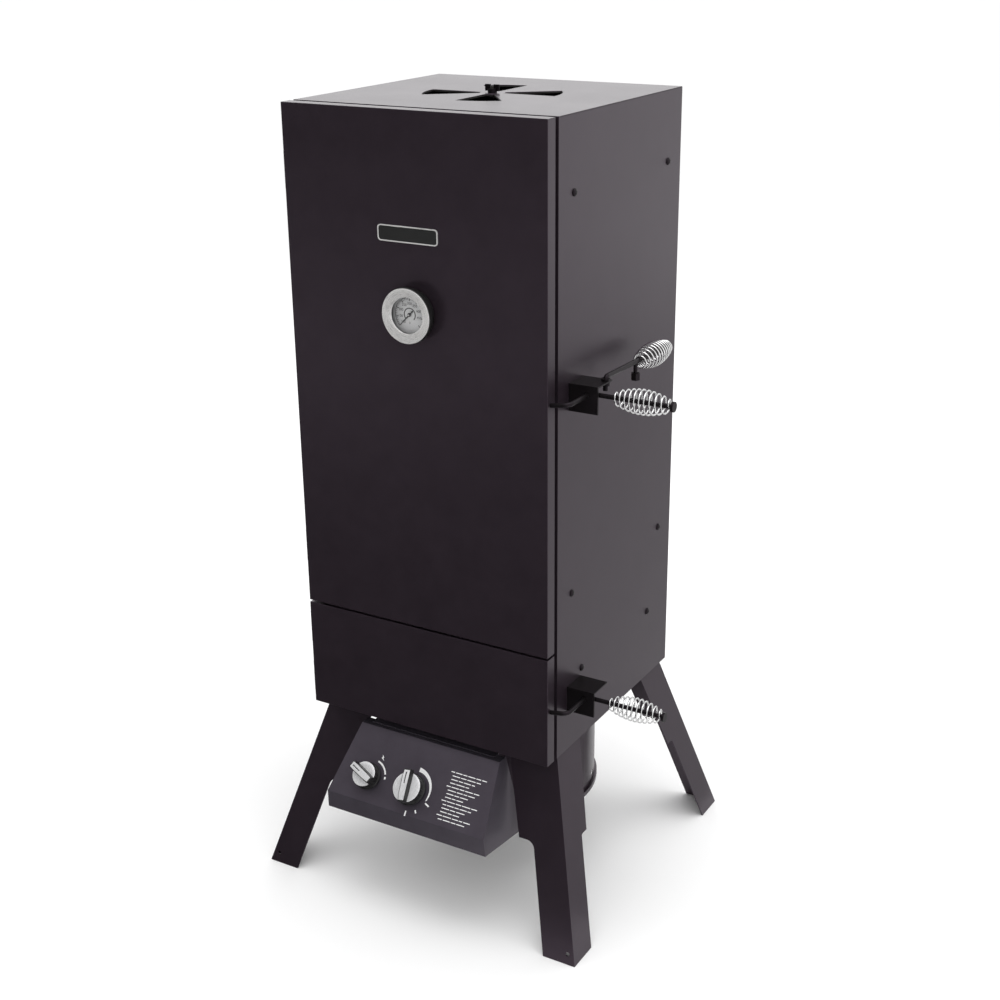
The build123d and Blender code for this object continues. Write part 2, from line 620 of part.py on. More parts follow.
def igniter_electrode():
    """The ceramic spark electrode beside the burner, on its small bracket."""
    wire = [(LEAD_X, -62, LEAD_LEVEL), (LEAD_X, -50, LEAD_LEVEL), (LEAD_X, -50, BURNER_BASE + 34)]
    electrode = bar((LEAD_X, -98, LEAD_LEVEL), (LEAD_X, -60, LEAD_LEVEL), 4.0)
    electrode += bent_rod(wire, 5.0, 1.2)
    socket_face = CENTRE_Y - 71
    bracket_y = (socket_face - 1.5, socket_face)
    return electrode + block((LEAD_X - 6, -12), bracket_y, (LEAD_LEVEL - 5, LEAD_LEVEL + 5))


def stem(x, top):
    """A stem with a flat on its outer part, square to the panel face."""
    shaft = on_face(x, -13, top, STEM_RADIUS)
    flat_start = KNOB_REST_GAP - KNOB_TRAVEL - 0.5
    return shaft - face_plane(x) * Pos(0, STEM_RADIUS, flat_start) * Box(12, 3, top, align=STAND_UP)


def knob(x, radius, bar_half, turn):
    """A round skirted knob with a raised grip bar across its face."""
    skirt = on_face(x, KNOB_REST_GAP, KNOB_REST_GAP + 3, radius)
    skirt += on_face(x, KNOB_REST_GAP + 3, KNOB_REST_GAP + 15, radius - 2.5)
    grip = Box(13, 2 * radius + 1, 12, align=STAND_UP)
    grip = face_plane(x) * Rot(0, 0, turn) * Pos(0, 0, KNOB_REST_GAP + 12) * grip
    return skirt + (grip & on_face(x, 0, 60, bar_half))


def gas_knob():
    """The burner knob, bored to slide on its stem."""
    shape = knob(0, 24.0, 25.5, 8)
    bore = on_face(0, 0, 24, STEM_RADIUS + STEM_PLAY)
    flat = face_plane(0) * Pos(0, STEM_RADIUS + STEM_PLAY, 12) * Box(12, 3, 24)
    return shape - (bore - flat)


def igniter_knob():
    """The spark knob with its stem."""
    return knob(IGNITER_X, 20.5, 23.0, 67) + stem(IGNITER_X, 14)


# --- doors and hinges ---------------------------------------------------------------
def door_pan(z_low, z_high):
    """A door skin: a front sheet folded back all round, with a lip behind."""
    slab = block((-SIDE, SIDE), (DOOR_FRONT, DOOR_BACK), (z_low, z_high))
    hollow_y = (DOOR_FRONT + SHEET, DOOR_BACK - SHEET)
    slab -= block((-INNER, INNER), hollow_y, (z_low + SHEET, z_high - SHEET))
    mouth_x = INNER - DOOR_LIP
    mouth_z = (z_low + SHEET + DOOR_LIP, z_high - SHEET - DOOR_LIP)
    return slab - block((-mouth_x, mouth_x), (DOOR_BACK - 5, DOOR_BACK + 1), mouth_z)


def door_liner(z_low, z_high):
    """The inner sheet that closes the back of a door."""
    liner_y = (DOOR_BACK - 2 * SHEET, DOOR_BACK - SHEET)
    return block((-INNER, INNER), liner_y, (z_low + SHEET, z_high - SHEET))


def gauge_hole():
    return bar((0, DOOR_FRONT - 1, GAUGE_LEVEL), (0, DOOR_BACK + 1, GAUGE_LEVEL), 5.0)


def hinge_knuckle(z_low, z_high, leaf_y):
    """One knuckle of a hinge, with the tongue that joins it to its leaf."""
    knuckle = bar((HINGE_X, HINGE_Y, z_low), (HINGE_X, HINGE_Y, z_high), HINGE_BARREL_RADIUS)
    tongue_y = sorted((HINGE_Y, leaf_y))
    knuckle += block((-SIDE - HINGE_SHEET, -SIDE), tongue_y, (z_low, z_high))
    hole = HINGE_PIN_RADIUS + HINGE_PIN_PLAY
    return knuckle - bar((HINGE_X, HINGE_Y, z_low - 1), (HINGE_X, HINGE_Y, z_high + 1), hole)


def fixed_leaf(level):
    """The half of a hinge on the side wall, with two knuckles."""
    low, high = level - HINGE_LENGTH / 2, level + HINGE_LENGTH / 2
    third = HINGE_LENGTH / 3
    leaf = block((-SIDE - HINGE_SHEET, -SIDE), (CABINET_FRONT, -150), (low, high))
    leaf += hinge_knuckle(low, low + third, CABINET_FRONT)
    return leaf + hinge_knuckle(high - third, high, CABINET_FRONT)


def door_leaf(level):
    """The half of a hinge on a door, with the middle knuckle."""
    third = HINGE_LENGTH / 3
    low, high = level - third / 2 + MOVING_GAP, level + third / 2 - MOVING_GAP
    leaf_y = (DOOR_FRONT + 2, DOOR_BACK - MOVING_GAP)
    leaf_z = (level - HINGE_LENGTH / 2, level + HINGE_LENGTH / 2)
    leaf = block((-SIDE - HINGE_SHEET, -SIDE), leaf_y, leaf_z)
    return leaf + hinge_knuckle(low, high, leaf_y[1])


def hinge_pin(level):
    """A headed pin through one hinge."""
    low, high = level - HINGE_LENGTH / 2, level + HINGE_LENGTH / 2
    pin = bar((HINGE_X, HINGE_Y, low - 1), (HINGE_X, HINGE_Y, high), HINGE_PIN_RADIUS)
    return pin + bar((HINGE_X, HINGE_Y, high), (HINGE_X, HINGE_Y, high + 2), HINGE_PIN_RADIUS + 1.5)


# --- thermometer and plate ----------------------------------------------------------
def gauge_ring(outer, low, high):
    """A round bar on the thermometer's axis, between two distances from the door."""
    return bar((0, DOOR_FRONT - low, GAUGE_LEVEL), (0, DOOR_FRONT - high, GAUGE_LEVEL), outer)


def gauge_housing():
    """The black cup behind the dial."""
    cup = gauge_ring(GAUGE_CUP_RADIUS, 0, GAUGE_DEPTH)
    return cup - gauge_ring(GAUGE_CAVITY_RADIUS, 8, GAUGE_DEPTH + 1) - gauge_ring(3.0, -1, 9)


def gauge_bezel():
    """The bright ring round the dial."""
    ring = gauge_ring(GAUGE_RADIUS, 12, GAUGE_FRONT) - gauge_ring(BEZEL_WINDOW_RADIUS, 0, 30)
    rim = ring.edges().filter_by(GeomType.CIRCLE).sort_by(Axis.Y)[0:2]
    ring = chamfer(rim, 1.5)
    return ring - gauge_ring(GAUGE_CUP_RADIUS, 0, GAUGE_DEPTH)


def gauge_dial():
    """The dial plate with the needle's pivot."""
    return gauge_ring(GAUGE_CAVITY_RADIUS, 8, 9) + gauge_ring(0.8, 9, 12.4)


def gauge_glass():
    """The window, held under the bezel."""
    return gauge_ring(GAUGE_CAVITY_RADIUS, 15, GAUGE_DEPTH)


def gauge_probe():
    """The stainless probe and its nut behind the door skin."""
    probe = gauge_ring(3.0, -76, 8)
    nut = hexagon((0, DOOR_FRONT + SHEET, GAUGE_LEVEL), (0, DOOR_FRONT + SHEET + 5, GAUGE_LEVEL), 9.0)
    return probe + nut


def gauge_needle():
    """The needle, turning on the dial's pivot, at its cold end."""
    needle = gauge_ring(2.6, 10, 11.6)
    tip_angle = math.radians(225)
    along = Vector(math.cos(tip_angle), 0, math.sin(tip_angle))
    across = Vector(-along.Z, 0, along.X)
    hub = Vector(0, DOOR_FRONT - 10, GAUGE_LEVEL)
    outline = [hub - along * 8 + across * 1.4, hub - along * 8 - across * 1.4]
    outline += [hub + along * 24 - across * 0.5, hub + along * 24 + across * 0.5]
    needle += plate(outline, Vector(0, -1, 0), 0.8)
    return needle - gauge_ring(0.87, 9, 13)


def name_plate():
    """A plain raised badge plate."""
    plate_y = (DOOR_FRONT - 1.6, DOOR_FRONT)
    half = PLATE_SIZE[0] / 2
    z_range = (PLATE_LEVEL - PLATE_SIZE[1] / 2, PLATE_LEVEL + PLATE_SIZE[1] / 2)
    return block((PLATE_X - half, PLATE_X + half), plate_y, z_range)


# --- latches ------------------------------------------------------------------------
def latch_bracket(level, with_lever):
    """A bracket on the right wall: base, drilled front plate and top flange."""
    low, high = level - BRACKET_DROP, level + BRACKET_RISE
    bracket = block((SIDE, SIDE + BRACKET_SHEET), (BRACKET_FRONT, BRACKET_BACK), (low, high))
    front_y = (BRACKET_FRONT, BRACKET_FRONT + BRACKET_SHEET)
    bracket += block((SIDE, BRACKET_EDGE), front_y, (low, high))
    bracket += block((SIDE, BRACKET_EDGE), (BRACKET_FRONT, BRACKET_BACK), (high - 2, high))
    hole = LATCH_ROD_RADIUS + LATCH_ROD_PLAY
    bracket -= bar((LATCH_X, BRACKET_FRONT - 1, level), (LATCH_X, BRACKET_FRONT + 4, level), hole)
    for y, z in bracket_screw_points(level):
        bracket -= bar((SIDE - 1, y, z), (SIDE + 5, y, z), SCREW_RADIUS)
    if with_lever:
        hole = LEVER_ROD_RADIUS + LATCH_ROD_PLAY
        bracket -= bar((LEVER_X, LEVER_Y, high - 5), (LEVER_X, LEVER_Y, high + 5), hole)
    return bracket


def latch_rod(level):
    """The bent latch rod, from its tip through the bracket to the nut at its end."""
    tip_x = SIDE + LATCH_TIP_GAP
    points = [(tip_x, LATCH_TIP_Y, level - 4), (LATCH_X, LATCH_TIP_Y, level), (LATCH_X, LATCH_SHANK_Y, level)]
    points.append((LATCH_ROD_END, LATCH_SHANK_Y, level))
    rod = bent_rod([Vector(*point) for point in points], [9.0, 4.5], LATCH_ROD_RADIUS)
    return rod + latch_nut(level)


def latch_nut(level):
    """The round nut that ends a latch rod."""
    start, end = (LATCH_ROD_END - 1, LATCH_SHANK_Y, level), (LATCH_ROD_END + 3, LATCH_SHANK_Y, level)
    return bar(start, end, 7.0)


def coil_shape(start, end, rod_radius):
    """The outer form of a wire-coil grip: a hollow spindle, fat in the middle."""
    run = Vector(*end) - Vector(*start)
    length = run.length

    def spindle(shrink):
        arc = ThreePointArc(
            (COIL_END_RADIUS - shrink, 0),
            (COIL_RADIUS - shrink, length / 2),
            (COIL_END_RADIUS - shrink, length),
        )
        outline = arc + Polyline(arc @ 1, (0, length), (0, 0), arc @ 0)
        return revolve(Plane.XZ * make_face(outline), Axis.Z)

    grip = spindle(0) - spindle(COIL_WALL)
    grip -= Pos(0, 0, -1) * Cylinder(rod_radius, length + 2, align=STAND_UP)
    return Plane(origin=start, z_dir=run) * grip


def latch_coil(level):
    """The coil grip on a latch rod."""
    start = (LATCH_COIL_START, LATCH_SHANK_Y, level)
    return coil_shape(start, (LATCH_COIL_END, LATCH_SHANK_Y, level), LATCH_ROD_RADIUS)


def lever_rod():
    """The second spring lever: an upright pivot, bent back over the bracket."""
    flange_top = LATCH_LEVELS[0] + BRACKET_RISE
    start = (LEVER_X, LEVER_Y, flange_top - 14)
    points = [start, (LEVER_X, LEVER_Y, LEVER_RISE), (LEVER_X, LEVER_COIL_FRONT - 10, LEVER_RISE - 2)]
    points.append((LEVER_X, LEVER_COIL_BACK + 2, LEVER_RISE - 8))
    rod = bent_rod([Vector(*point) for point in points], [4.8, 20.0], LEVER_ROD_RADIUS)
    for low, high in ((flange_top - 7, flange_top - 2 - MOVING_GAP), (flange_top + MOVING_GAP, flange_top + 3)):
        rod += bar((LEVER_X, LEVER_Y, low), (LEVER_X, LEVER_Y, high), 6.0)
    stud_y = LEVER_COIL_FRONT - 8
    rod += bar((LEVER_X, stud_y, LEVER_RISE - 4), (LEVER_X, stud_y, LEVER_RISE - 24), 3.0)
    return rod + hexagon((LEVER_X, stud_y, LEVER_RISE - 28), (LEVER_X, stud_y, LEVER_RISE - 18), 6.5)


def lever_coil():
    """The coil grip on the second lever."""
    slope = 6.0 / (LEVER_COIL_BACK - LEVER_COIL_FRONT + 12)
    start_z = LEVER_RISE - 2 - slope * 10
    end_z = start_z - slope * (LEVER_COIL_BACK - LEVER_COIL_FRONT)
    start = (LEVER_X, LEVER_COIL_FRONT, start_z)
    return coil_shape(start, (LEVER_X, LEVER_COIL_BACK, end_z), LEVER_ROD_RADIUS)


# --- damper -------------------------------------------------------------------------
def damper_disc():
    """The slotted disc under the roof, with the stud it turns on."""
    top = ROOF_UNDERSIDE - MOVING_GAP
    disc = bar((0, CENTRE_Y, top - SHEET), (0, CENTRE_Y, top), DAMPER_DISC_RADIUS)
    for slot in damper_slots(top - 5, top + 5):
        disc -= slot
    return disc + bar((0, CENTRE_Y, top - 6), (0, CENTRE_Y, CABINET_TOP + 9), DAMPER_STUD_RADIUS)


def damper_knob():
    """The wing nut that turns the damper."""
    base = CABINET_TOP + MOVING_GAP
    nut = bar((0, CENTRE_Y, base), (0, CENTRE_Y, base + 5), 6.5)
    wings = block((-11, 11), (CENTRE_Y - 1.2, CENTRE_Y + 1.2), (base + 2, base + 11))
    return nut + wings - bar((0, CENTRE_Y, base - 1), (0, CENTRE_Y, base + 20), DAMPER_STUD_RADIUS)


# --- the whole smoker ---------------------------------------------------------------
def write_cabinet():
    save("cabinet_left_side", side_panel(-1))
    save("cabinet_right_side", side_panel(1))
    save("cabinet_back", back_panel())
    save("cabinet_top", roof())
    save("cabinet_floor", floor_pan())
    save("cabinet_divider", door_divider())
    upper_seal = door_seal(UPPER_DOOR_BOTTOM, CABINET_TOP)
    save("door_seals", upper_seal, door_seal(CABINET_BOTTOM, LOWER_DOOR_TOP))
    for name, sign in (("left", -1), ("right", 1)):
        save(f"leg_front_{name}", leg(-FOOT_Y, LEG_TOP_FRONT, sign))
        save(f"leg_rear_{name}", leg(FOOT_Y, LEG_TOP_BACK, sign))
        save(f"grate_rack_{name}", grate_rack(sign))
    save("floor_bolts", *hex_bolts())
    save("side_screws", *side_screws())


def write_chamber():
    for number, level in enumerate(RACK_LEVELS, start=1):
        save(f"cooking_grate_{number}", cooking_grate(level))
    save("tray_supports", pan_rail(1), pan_rail(-1), *chip_tray_rails())
    save("water_pan", water_pan())
    save("wood_chip_tray", wood_chip_tray())


def write_burner():
    save("burner_drum", burner_drum())
    save("burner_bracket", burner_bracket())
    save("burner_head", burner_head())
    save("burner_venturi", burner_venturi())
    save("control_panel", control_panel())
    save("gas_valve", gas_valve())
    save("gas_inlet", gas_inlet())
    save("igniter_body", igniter_body())
    save("ignition_lead", ignition_lead())
    save("igniter_electrode", igniter_electrode())
    save("gas_stem", stem(0, 17))
    save("gas_knob", gas_knob())
    save("igniter_knob", igniter_knob())


def write_doors():
    hole = gauge_hole()
    save("upper_door_shell", door_pan(UPPER_DOOR_BOTTOM, CABINET_TOP) - hole)
    save("upper_door_liner", door_liner(UPPER_DOOR_BOTTOM, CABINET_TOP) - hole)
    save("lower_door_shell", door_pan(CABINET_BOTTOM, LOWER_DOOR_TOP))
    save("lower_door_liner", door_liner(CABINET_BOTTOM, LOWER_DOOR_TOP))
    hinges = UPPER_HINGES + LOWER_HINGES
    save("hinge_fixed_leaves", *[fixed_leaf(level) for level in hinges])
    save("hinge_pins", *[hinge_pin(level) for level in hinges])
    save("upper_door_hinge_leaves", *[door_leaf(level) for level in UPPER_HINGES])
    save("lower_door_hinge_leaves", *[door_leaf(level) for level in LOWER_HINGES])
    save("gauge_housing", gauge_housing())
    save("gauge_bezel", gauge_bezel())
    save("gauge_dial", gauge_dial())
    save("gauge_glass", gauge_glass())
    save("gauge_probe", gauge_probe())
    save("gauge_needle", gauge_needle())
    save("name_plate", name_plate())


def write_latches():
    for name, level in zip(("upper", "lower"), LATCH_LEVELS):
        save(f"{name}_latch_bracket", latch_bracket(level, name == "upper"))
        save(f"{name}_latch_rod", latch_rod(level))
        save(f"{name}_latch_coil", latch_coil(level))
    save("lever_rod", lever_rod())
    save("lever_coil", lever_coil())
    save("damper_disc", damper_disc())
    save("damper_knob", damper_knob())


os.makedirs("parts", exist_ok=True)
write_cabinet()
write_chamber()
write_burner()
write_doors()
write_latches()
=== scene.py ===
import json
import math

import bmesh
import bpy
from mathutils import Matrix, Vector


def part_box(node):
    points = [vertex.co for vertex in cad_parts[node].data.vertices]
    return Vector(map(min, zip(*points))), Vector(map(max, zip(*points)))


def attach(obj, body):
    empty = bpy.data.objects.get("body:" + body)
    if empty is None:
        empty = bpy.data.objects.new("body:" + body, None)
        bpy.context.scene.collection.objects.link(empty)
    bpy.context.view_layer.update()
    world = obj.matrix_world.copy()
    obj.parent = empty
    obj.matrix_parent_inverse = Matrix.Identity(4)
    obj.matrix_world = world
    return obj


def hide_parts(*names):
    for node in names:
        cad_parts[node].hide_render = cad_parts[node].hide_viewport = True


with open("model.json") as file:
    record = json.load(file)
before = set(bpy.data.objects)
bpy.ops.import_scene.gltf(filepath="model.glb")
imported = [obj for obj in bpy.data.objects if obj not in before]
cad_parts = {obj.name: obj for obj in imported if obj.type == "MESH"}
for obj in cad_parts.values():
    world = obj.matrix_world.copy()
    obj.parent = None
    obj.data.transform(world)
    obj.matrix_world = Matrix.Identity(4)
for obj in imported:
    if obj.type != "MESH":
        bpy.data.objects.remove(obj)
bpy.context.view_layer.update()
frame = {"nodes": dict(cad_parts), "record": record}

MM = 0.001
BEZEL_WINDOW = 24.5 * MM
GRIP_END_RADIUS = 7.6 * MM
GRIP_WIRE_RADIUS = 1.15 * MM
KNOB_REST_GAP = 4.5 * MM
STEM_HOLE_RADIUS = 4.1 * MM
PRINT_LIFT = 0.15 * MM
DIAL_PRINT_LIFT = 0.12 * MM
DIAL_START, DIAL_SWEEP = 225.0, 270.0
NODES = frame["nodes"]
JOINTS = {joint["name"]: joint for joint in frame["record"]["behaviour"]["joints"]}


# --- places taken from the frame ----------------------------------------------------
def low(node):
    return Vector(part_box(node)[0])


def high(node):
    return Vector(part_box(node)[1])


def middle(node):
    return (low(node) + high(node)) / 2


def joint_place(name):
    return Vector(JOINTS[name]["pos_m"])


def joint_axis(name):
    return Vector(JOINTS[name]["axis"]).normalized()


# --- camera and stage ---------------------------------------------------------------
def add_camera():
    """The camera at the object's three-quarter view, a little above its top."""
    data = bpy.data.cameras.new("camera")
    data.lens = 56.105
    data.sensor_width = 36.0
    data.clip_end = 200.0
    camera = bpy.data.objects.new("camera", data)
    right = Vector((0.8621721, 0.5065091, -0.0103869))
    up = Vector((-0.1734377, 0.3143627, 0.9333250))
    back = Vector((0.4760028, -0.8028852, 0.3588825))
    turn = Matrix((right, up, back)).transposed().to_4x4()
    camera.matrix_world = Matrix.Translation((1.12797, -1.88926, 1.42641)) @ turn
    bpy.context.scene.collection.objects.link(camera)
    bpy.context.scene.camera = camera


def stage_plane(name, size, location, rotation, colour):
    """A flat sheet of the studio, which isn't part of the object."""
    mesh = bpy.data.meshes.new(name)
    half_x, half_y = size[0] / 2, size[1] / 2
    corners = [(-half_x, -half_y, 0), (half_x, -half_y, 0), (half_x, half_y, 0), (-half_x, half_y, 0)]
    mesh.from_pydata(corners, [], [(0, 1, 2, 3)])
    sheet = bpy.data.objects.new(name, mesh)
    sheet.location = location
    sheet.rotation_euler = rotation
    bpy.context.scene.collection.objects.link(sheet)
    mat = bpy.data.materials.new(name)
    mat.use_nodes = True
    shader = mat.node_tree.nodes["Principled BSDF"]
    shader.inputs["Base Color"].default_value = (*colour, 1)
    shader.inputs["Roughness"].default_value = 0.9
    shader.inputs["Specular IOR Level"].default_value = 0.0
    mesh.materials.append(mat)
    return sheet


def area_light(name, location, target, size, power):
    """A soft rectangular lamp that the camera doesn't see."""
    data = bpy.data.lights.new(name, "AREA")
    data.shape = "RECTANGLE"
    data.size, data.size_y = size
    data.energy = power
    lamp = bpy.data.objects.new(name, data)
    lamp.location = location
    direction = Vector(target) - Vector(location)
    lamp.rotation_euler = direction.to_track_quat("-Z", "Y").to_euler()
    lamp.visible_camera = False
    bpy.context.scene.collection.objects.link(lamp)
    return lamp


def add_studio():
    """A white floor and world, soft lights, and flags that only reflections see."""
    stage_plane("studio_floor", (80, 80), (0, 0, -0.0004), (0, 0, 0), (0.965, 0.965, 0.965))
    world = bpy.data.worlds.new("studio")
    world.use_nodes = True
    background = world.node_tree.nodes["Background"]
    background.inputs["Color"].default_value = (1, 1, 1, 1)
    background.inputs["Strength"].default_value = 0.95
    bpy.context.scene.world = world
    overhead = bpy.data.lights.new("overhead", "SUN")
    overhead.angle = math.radians(45)
    overhead.energy = 0.3
    bpy.context.scene.collection.objects.link(bpy.data.objects.new("overhead", overhead))
    area_light("back_light", (-1.6, 3.4, 2.3), (0, 0, 1.0), (3.4, 1.6), 14)
    area_light("top_light", (0.6, -0.2, 3.6), (0, 0, 0), (2.6, 2.6), 40)
    area_light("side_light", (3.2, 1.0, 1.6), (0, 0, 0.7), (1.6, 2.4), 6)
    flags = (
        ("flag_wall", (6, 4), (-1.9, -3.2, 2.0), (math.radians(90), 0, math.radians(-30)), 0.01),
        ("flag_ground", (5, 2.5), (-0.775, -1.36, 0.0006), (0, 0, math.radians(-30)), 0.01),
        ("flag_side", (2.9, 3.4), (1.75, 1.6, 0.0006), (0, 0, 0), 0.5),
    )
    for name, size, location, rotation, grey in flags:
        flag = stage_plane(name, size, location, rotation, (grey, grey, grey))
        flag.visible_camera = False
        flag.visible_diffuse = False
        flag.visible_shadow = False
        flag.visible_transmission = False
    bpy.context.scene.view_settings.view_transform = "Standard"


# --- material helpers ---------------------------------------------------------------
class Finish:
    """A node material with its principled shader and shared coordinates in metres."""

    def __init__(self, name, colour, roughness, metallic=0.0):
        self.material = bpy.data.materials.new(name)
        self.material.use_nodes = True
        self.tree = self.material.node_tree
        self.shader = self.tree.nodes["Principled BSDF"]
        self.shader.inputs["Base Color"].default_value = (*colour, 1)
        self.shader.inputs["Roughness"].default_value = roughness
        self.shader.inputs["Metallic"].default_value = metallic
        self.place = self.tree.nodes.new("ShaderNodeTexCoord").outputs["Object"]
        self.normal = None

    def node(self, kind, **values):
        node = self.tree.nodes.new(kind)
        for key, value in values.items():
            setattr(node, key, value)
        return node

    def noise(self, scale, detail=3.0, rough=0.55, place=None):
        node = self.node("ShaderNodeTexNoise")
        node.inputs["Scale"].default_value = scale
        node.inputs["Detail"].default_value = detail
        node.inputs["Roughness"].default_value = rough
        self.tree.links.new(place or self.place, node.inputs["Vector"])
        return node.outputs["Fac"]

    def cells(self, scale):
        node = self.node("ShaderNodeTexVoronoi", feature="F1")
        node.inputs["Scale"].default_value = scale
        self.tree.links.new(self.place, node.inputs["Vector"])
        return node.outputs["Distance"]

    def stretched(self, scale):
        node = self.node("ShaderNodeMapping")
        node.inputs["Scale"].default_value = scale
        self.tree.links.new(self.place, node.inputs["Vector"])
        return node.outputs["Vector"]

    def spread(self, source, from_low, from_high, to_low, to_high):
        node = self.node("ShaderNodeMapRange")
        keys = ("From Min", "From Max", "To Min", "To Max")
        for key, value in zip(keys, (from_low, from_high, to_low, to_high)):
            node.inputs[key].default_value = value
        self.tree.links.new(source, node.inputs["Value"])
        return node.outputs["Result"]

    def math(self, operation, first, second):
        node = self.node("ShaderNodeMath", operation=operation)
        for socket, value in zip(node.inputs, (first, second)):
            if isinstance(value, (int, float)):
                socket.default_value = value
            else:
                self.tree.links.new(value, socket)
        return node.outputs[0]

    def ramp(self, source, stops):
        node = self.node("ShaderNodeValToRGB")
        elements = node.color_ramp.elements
        while len(elements) < len(stops):
            elements.new(0.5)
        for element, (position, colour) in zip(elements, stops):
            element.position = position
            element.color = (*colour, 1)
        self.tree.links.new(source, node.inputs["Fac"])
        return node.outputs["Color"]

    def drive(self, socket, source):
        self.tree.links.new(source, self.shader.inputs[socket])
        return self

    def bump(self, source, strength, depth):
        node = self.node("ShaderNodeBump")
        node.inputs["Strength"].default_value = strength
        node.inputs["Distance"].default_value = depth
        self.tree.links.new(source, node.inputs["Height"])
        if self.normal is not None:
            self.tree.links.new(self.normal, node.inputs["Normal"])
        self.normal = node.outputs["Normal"]
        self.tree.links.new(self.normal, self.shader.inputs["Normal"])
        return self


def around_axis(finish, centre, axis):
    """The angle about an axis and the distance from it, as sockets, for turned metal."""
    shift = finish.node("ShaderNodeVectorMath", operation="SUBTRACT")
    shift.inputs[1].default_value = centre
    finish.tree.links.new(finish.place, shift.inputs[0])
    split = finish.node("ShaderNodeSeparateXYZ")
    finish.tree.links.new(shift.outputs["Vector"], split.inputs["Vector"])
    names = [name for name in "XYZ" if name != axis]
    first, second = split.outputs[names[0]], split.outputs[names[1]]
    angle = finish.math("ARCTAN2", second, first)
    squares = [finish.math("MULTIPLY", side, side) for side in (first, second)]
    return angle, finish.math("SQRT", finish.math("ADD", *squares), 0.5)


# --- materials ----------------------------------------------------------------------
def powder_coat(name, colour, roughness=0.4, grain=1.0, specular=0.5):
    """Baked satin powder coat: fine orange peel, faint dust and slow changes in sheen."""
    finish = Finish(name, colour, roughness)
    light = [c * 1.12 + 0.0008 for c in colour]
    dark = [c * 0.9 for c in colour]
    finish.drive("Base Color", finish.ramp(finish.noise(26, 6, 0.7), ((0.3, dark), (0.7, light))))
    sheen = finish.math("MULTIPLY", finish.noise(6, 4, 0.6), 0.35)
    sheen = finish.math("ADD", sheen, finish.math("MULTIPLY", finish.noise(900, 2), 0.65))
    finish.drive("Roughness", finish.spread(sheen, 0.3, 0.7, roughness - 0.04, roughness + 0.05))
    finish.bump(finish.noise(620, 2, 0.5), 0.2 * grain, 0.0004)
    finish.shader.inputs["Specular Tint"].default_value = (1.0, 0.8, 1.0, 1.0)
    finish.shader.inputs["Specular IOR Level"].default_value = specular
    return finish.material


def bright_wire(name, colour, roughness):
    """Nickel-bright wire with drawing marks and light handling haze."""
    finish = Finish(name, colour, roughness, metallic=1.0)
    haze = finish.noise(160, 4, 0.6)
    finish.drive("Roughness", finish.spread(haze, 0.3, 0.75, roughness * 0.7, roughness * 1.9))
    dull = [c * 0.82 for c in colour]
    finish.drive("Base Color", finish.ramp(finish.noise(70, 3), ((0.3, dull), (0.7, colour))))
    finish.bump(finish.noise(2600, 2), 0.1, 0.00012)
    return finish.material


def turned_steel(name, centre, axis, colour, roughness):
    """Bright stainless steel with fine rings from turning."""
    finish = Finish(name, colour, roughness, metallic=0.4)
    angle, distance = around_axis(finish, centre, axis)
    mix = finish.node("ShaderNodeCombineXYZ")
    finish.tree.links.new(finish.math("MULTIPLY", distance, 3200.0), mix.inputs["X"])
    finish.tree.links.new(finish.math("MULTIPLY", angle, 2.6), mix.inputs["Y"])
    rings = finish.noise(1.0, 4, 0.65, mix.outputs["Vector"])
    finish.drive("Roughness", finish.spread(rings, 0.3, 0.7, roughness * 0.75, roughness * 1.3))
    finish.drive("Base Color", finish.ramp(rings, ((0.3, [c * 0.5 for c in colour]), (0.65, colour))))
    finish.bump(rings, 0.25, 0.00025)
    return finish.material


def sheet_zinc(name):
    """Zinc-coated sheet with soft spangles."""
    finish = Finish(name, (0.5, 0.51, 0.52), 0.42, metallic=1.0)
    spangle = finish.cells(140)
    dark, light = (0.4, 0.41, 0.42), (0.58, 0.59, 0.6)
    finish.drive("Base Color", finish.ramp(spangle, ((0.1, dark), (0.6, light))))
    finish.drive("Roughness", finish.spread(spangle, 0.0, 0.7, 0.34, 0.52))
    finish.bump(finish.noise(300, 3), 0.12, 0.0003)
    return finish.material


def enamel(name):
    """Black vitreous enamel with pale specks and a glossy, slightly wavy surface."""
    finish = Finish(name, (0.012, 0.012, 0.015), 0.14)
    specks = finish.ramp(finish.cells(420), ((0.09, (0.5, 0.5, 0.52)), (0.14, (0.012, 0.012, 0.015))))
    finish.drive("Base Color", specks)
    finish.drive("Roughness", finish.spread(finish.noise(30, 3), 0.3, 0.7, 0.09, 0.22))
    finish.bump(finish.noise(60, 2), 0.12, 0.0012)
    return finish.material


def cast_iron(name):
    finish = Finish(name, (0.06, 0.055, 0.05), 0.72, metallic=0.6)
    grey, brown = (0.05, 0.047, 0.045), (0.13, 0.075, 0.045)
    rust = finish.ramp(finish.noise(45, 6, 0.7), ((0.4, grey), (0.75, brown)))
    finish.drive("Base Color", rust)
    finish.bump(finish.noise(700, 4, 0.7), 0.6, 0.0006)
    return finish.material


def brass(name):
    finish = Finish(name, (0.72, 0.52, 0.24), 0.3, metallic=1.0)
    brown, yellow = (0.5, 0.35, 0.15), (0.78, 0.57, 0.28)
    tarnish = finish.ramp(finish.noise(60, 5, 0.6), ((0.3, brown), (0.6, yellow)))
    finish.drive("Base Color", tarnish)
    finish.drive("Roughness", finish.spread(finish.noise(140, 3), 0.3, 0.7, 0.22, 0.42))
    finish.bump(finish.noise(1500, 2), 0.12, 0.0002)
    return finish.material


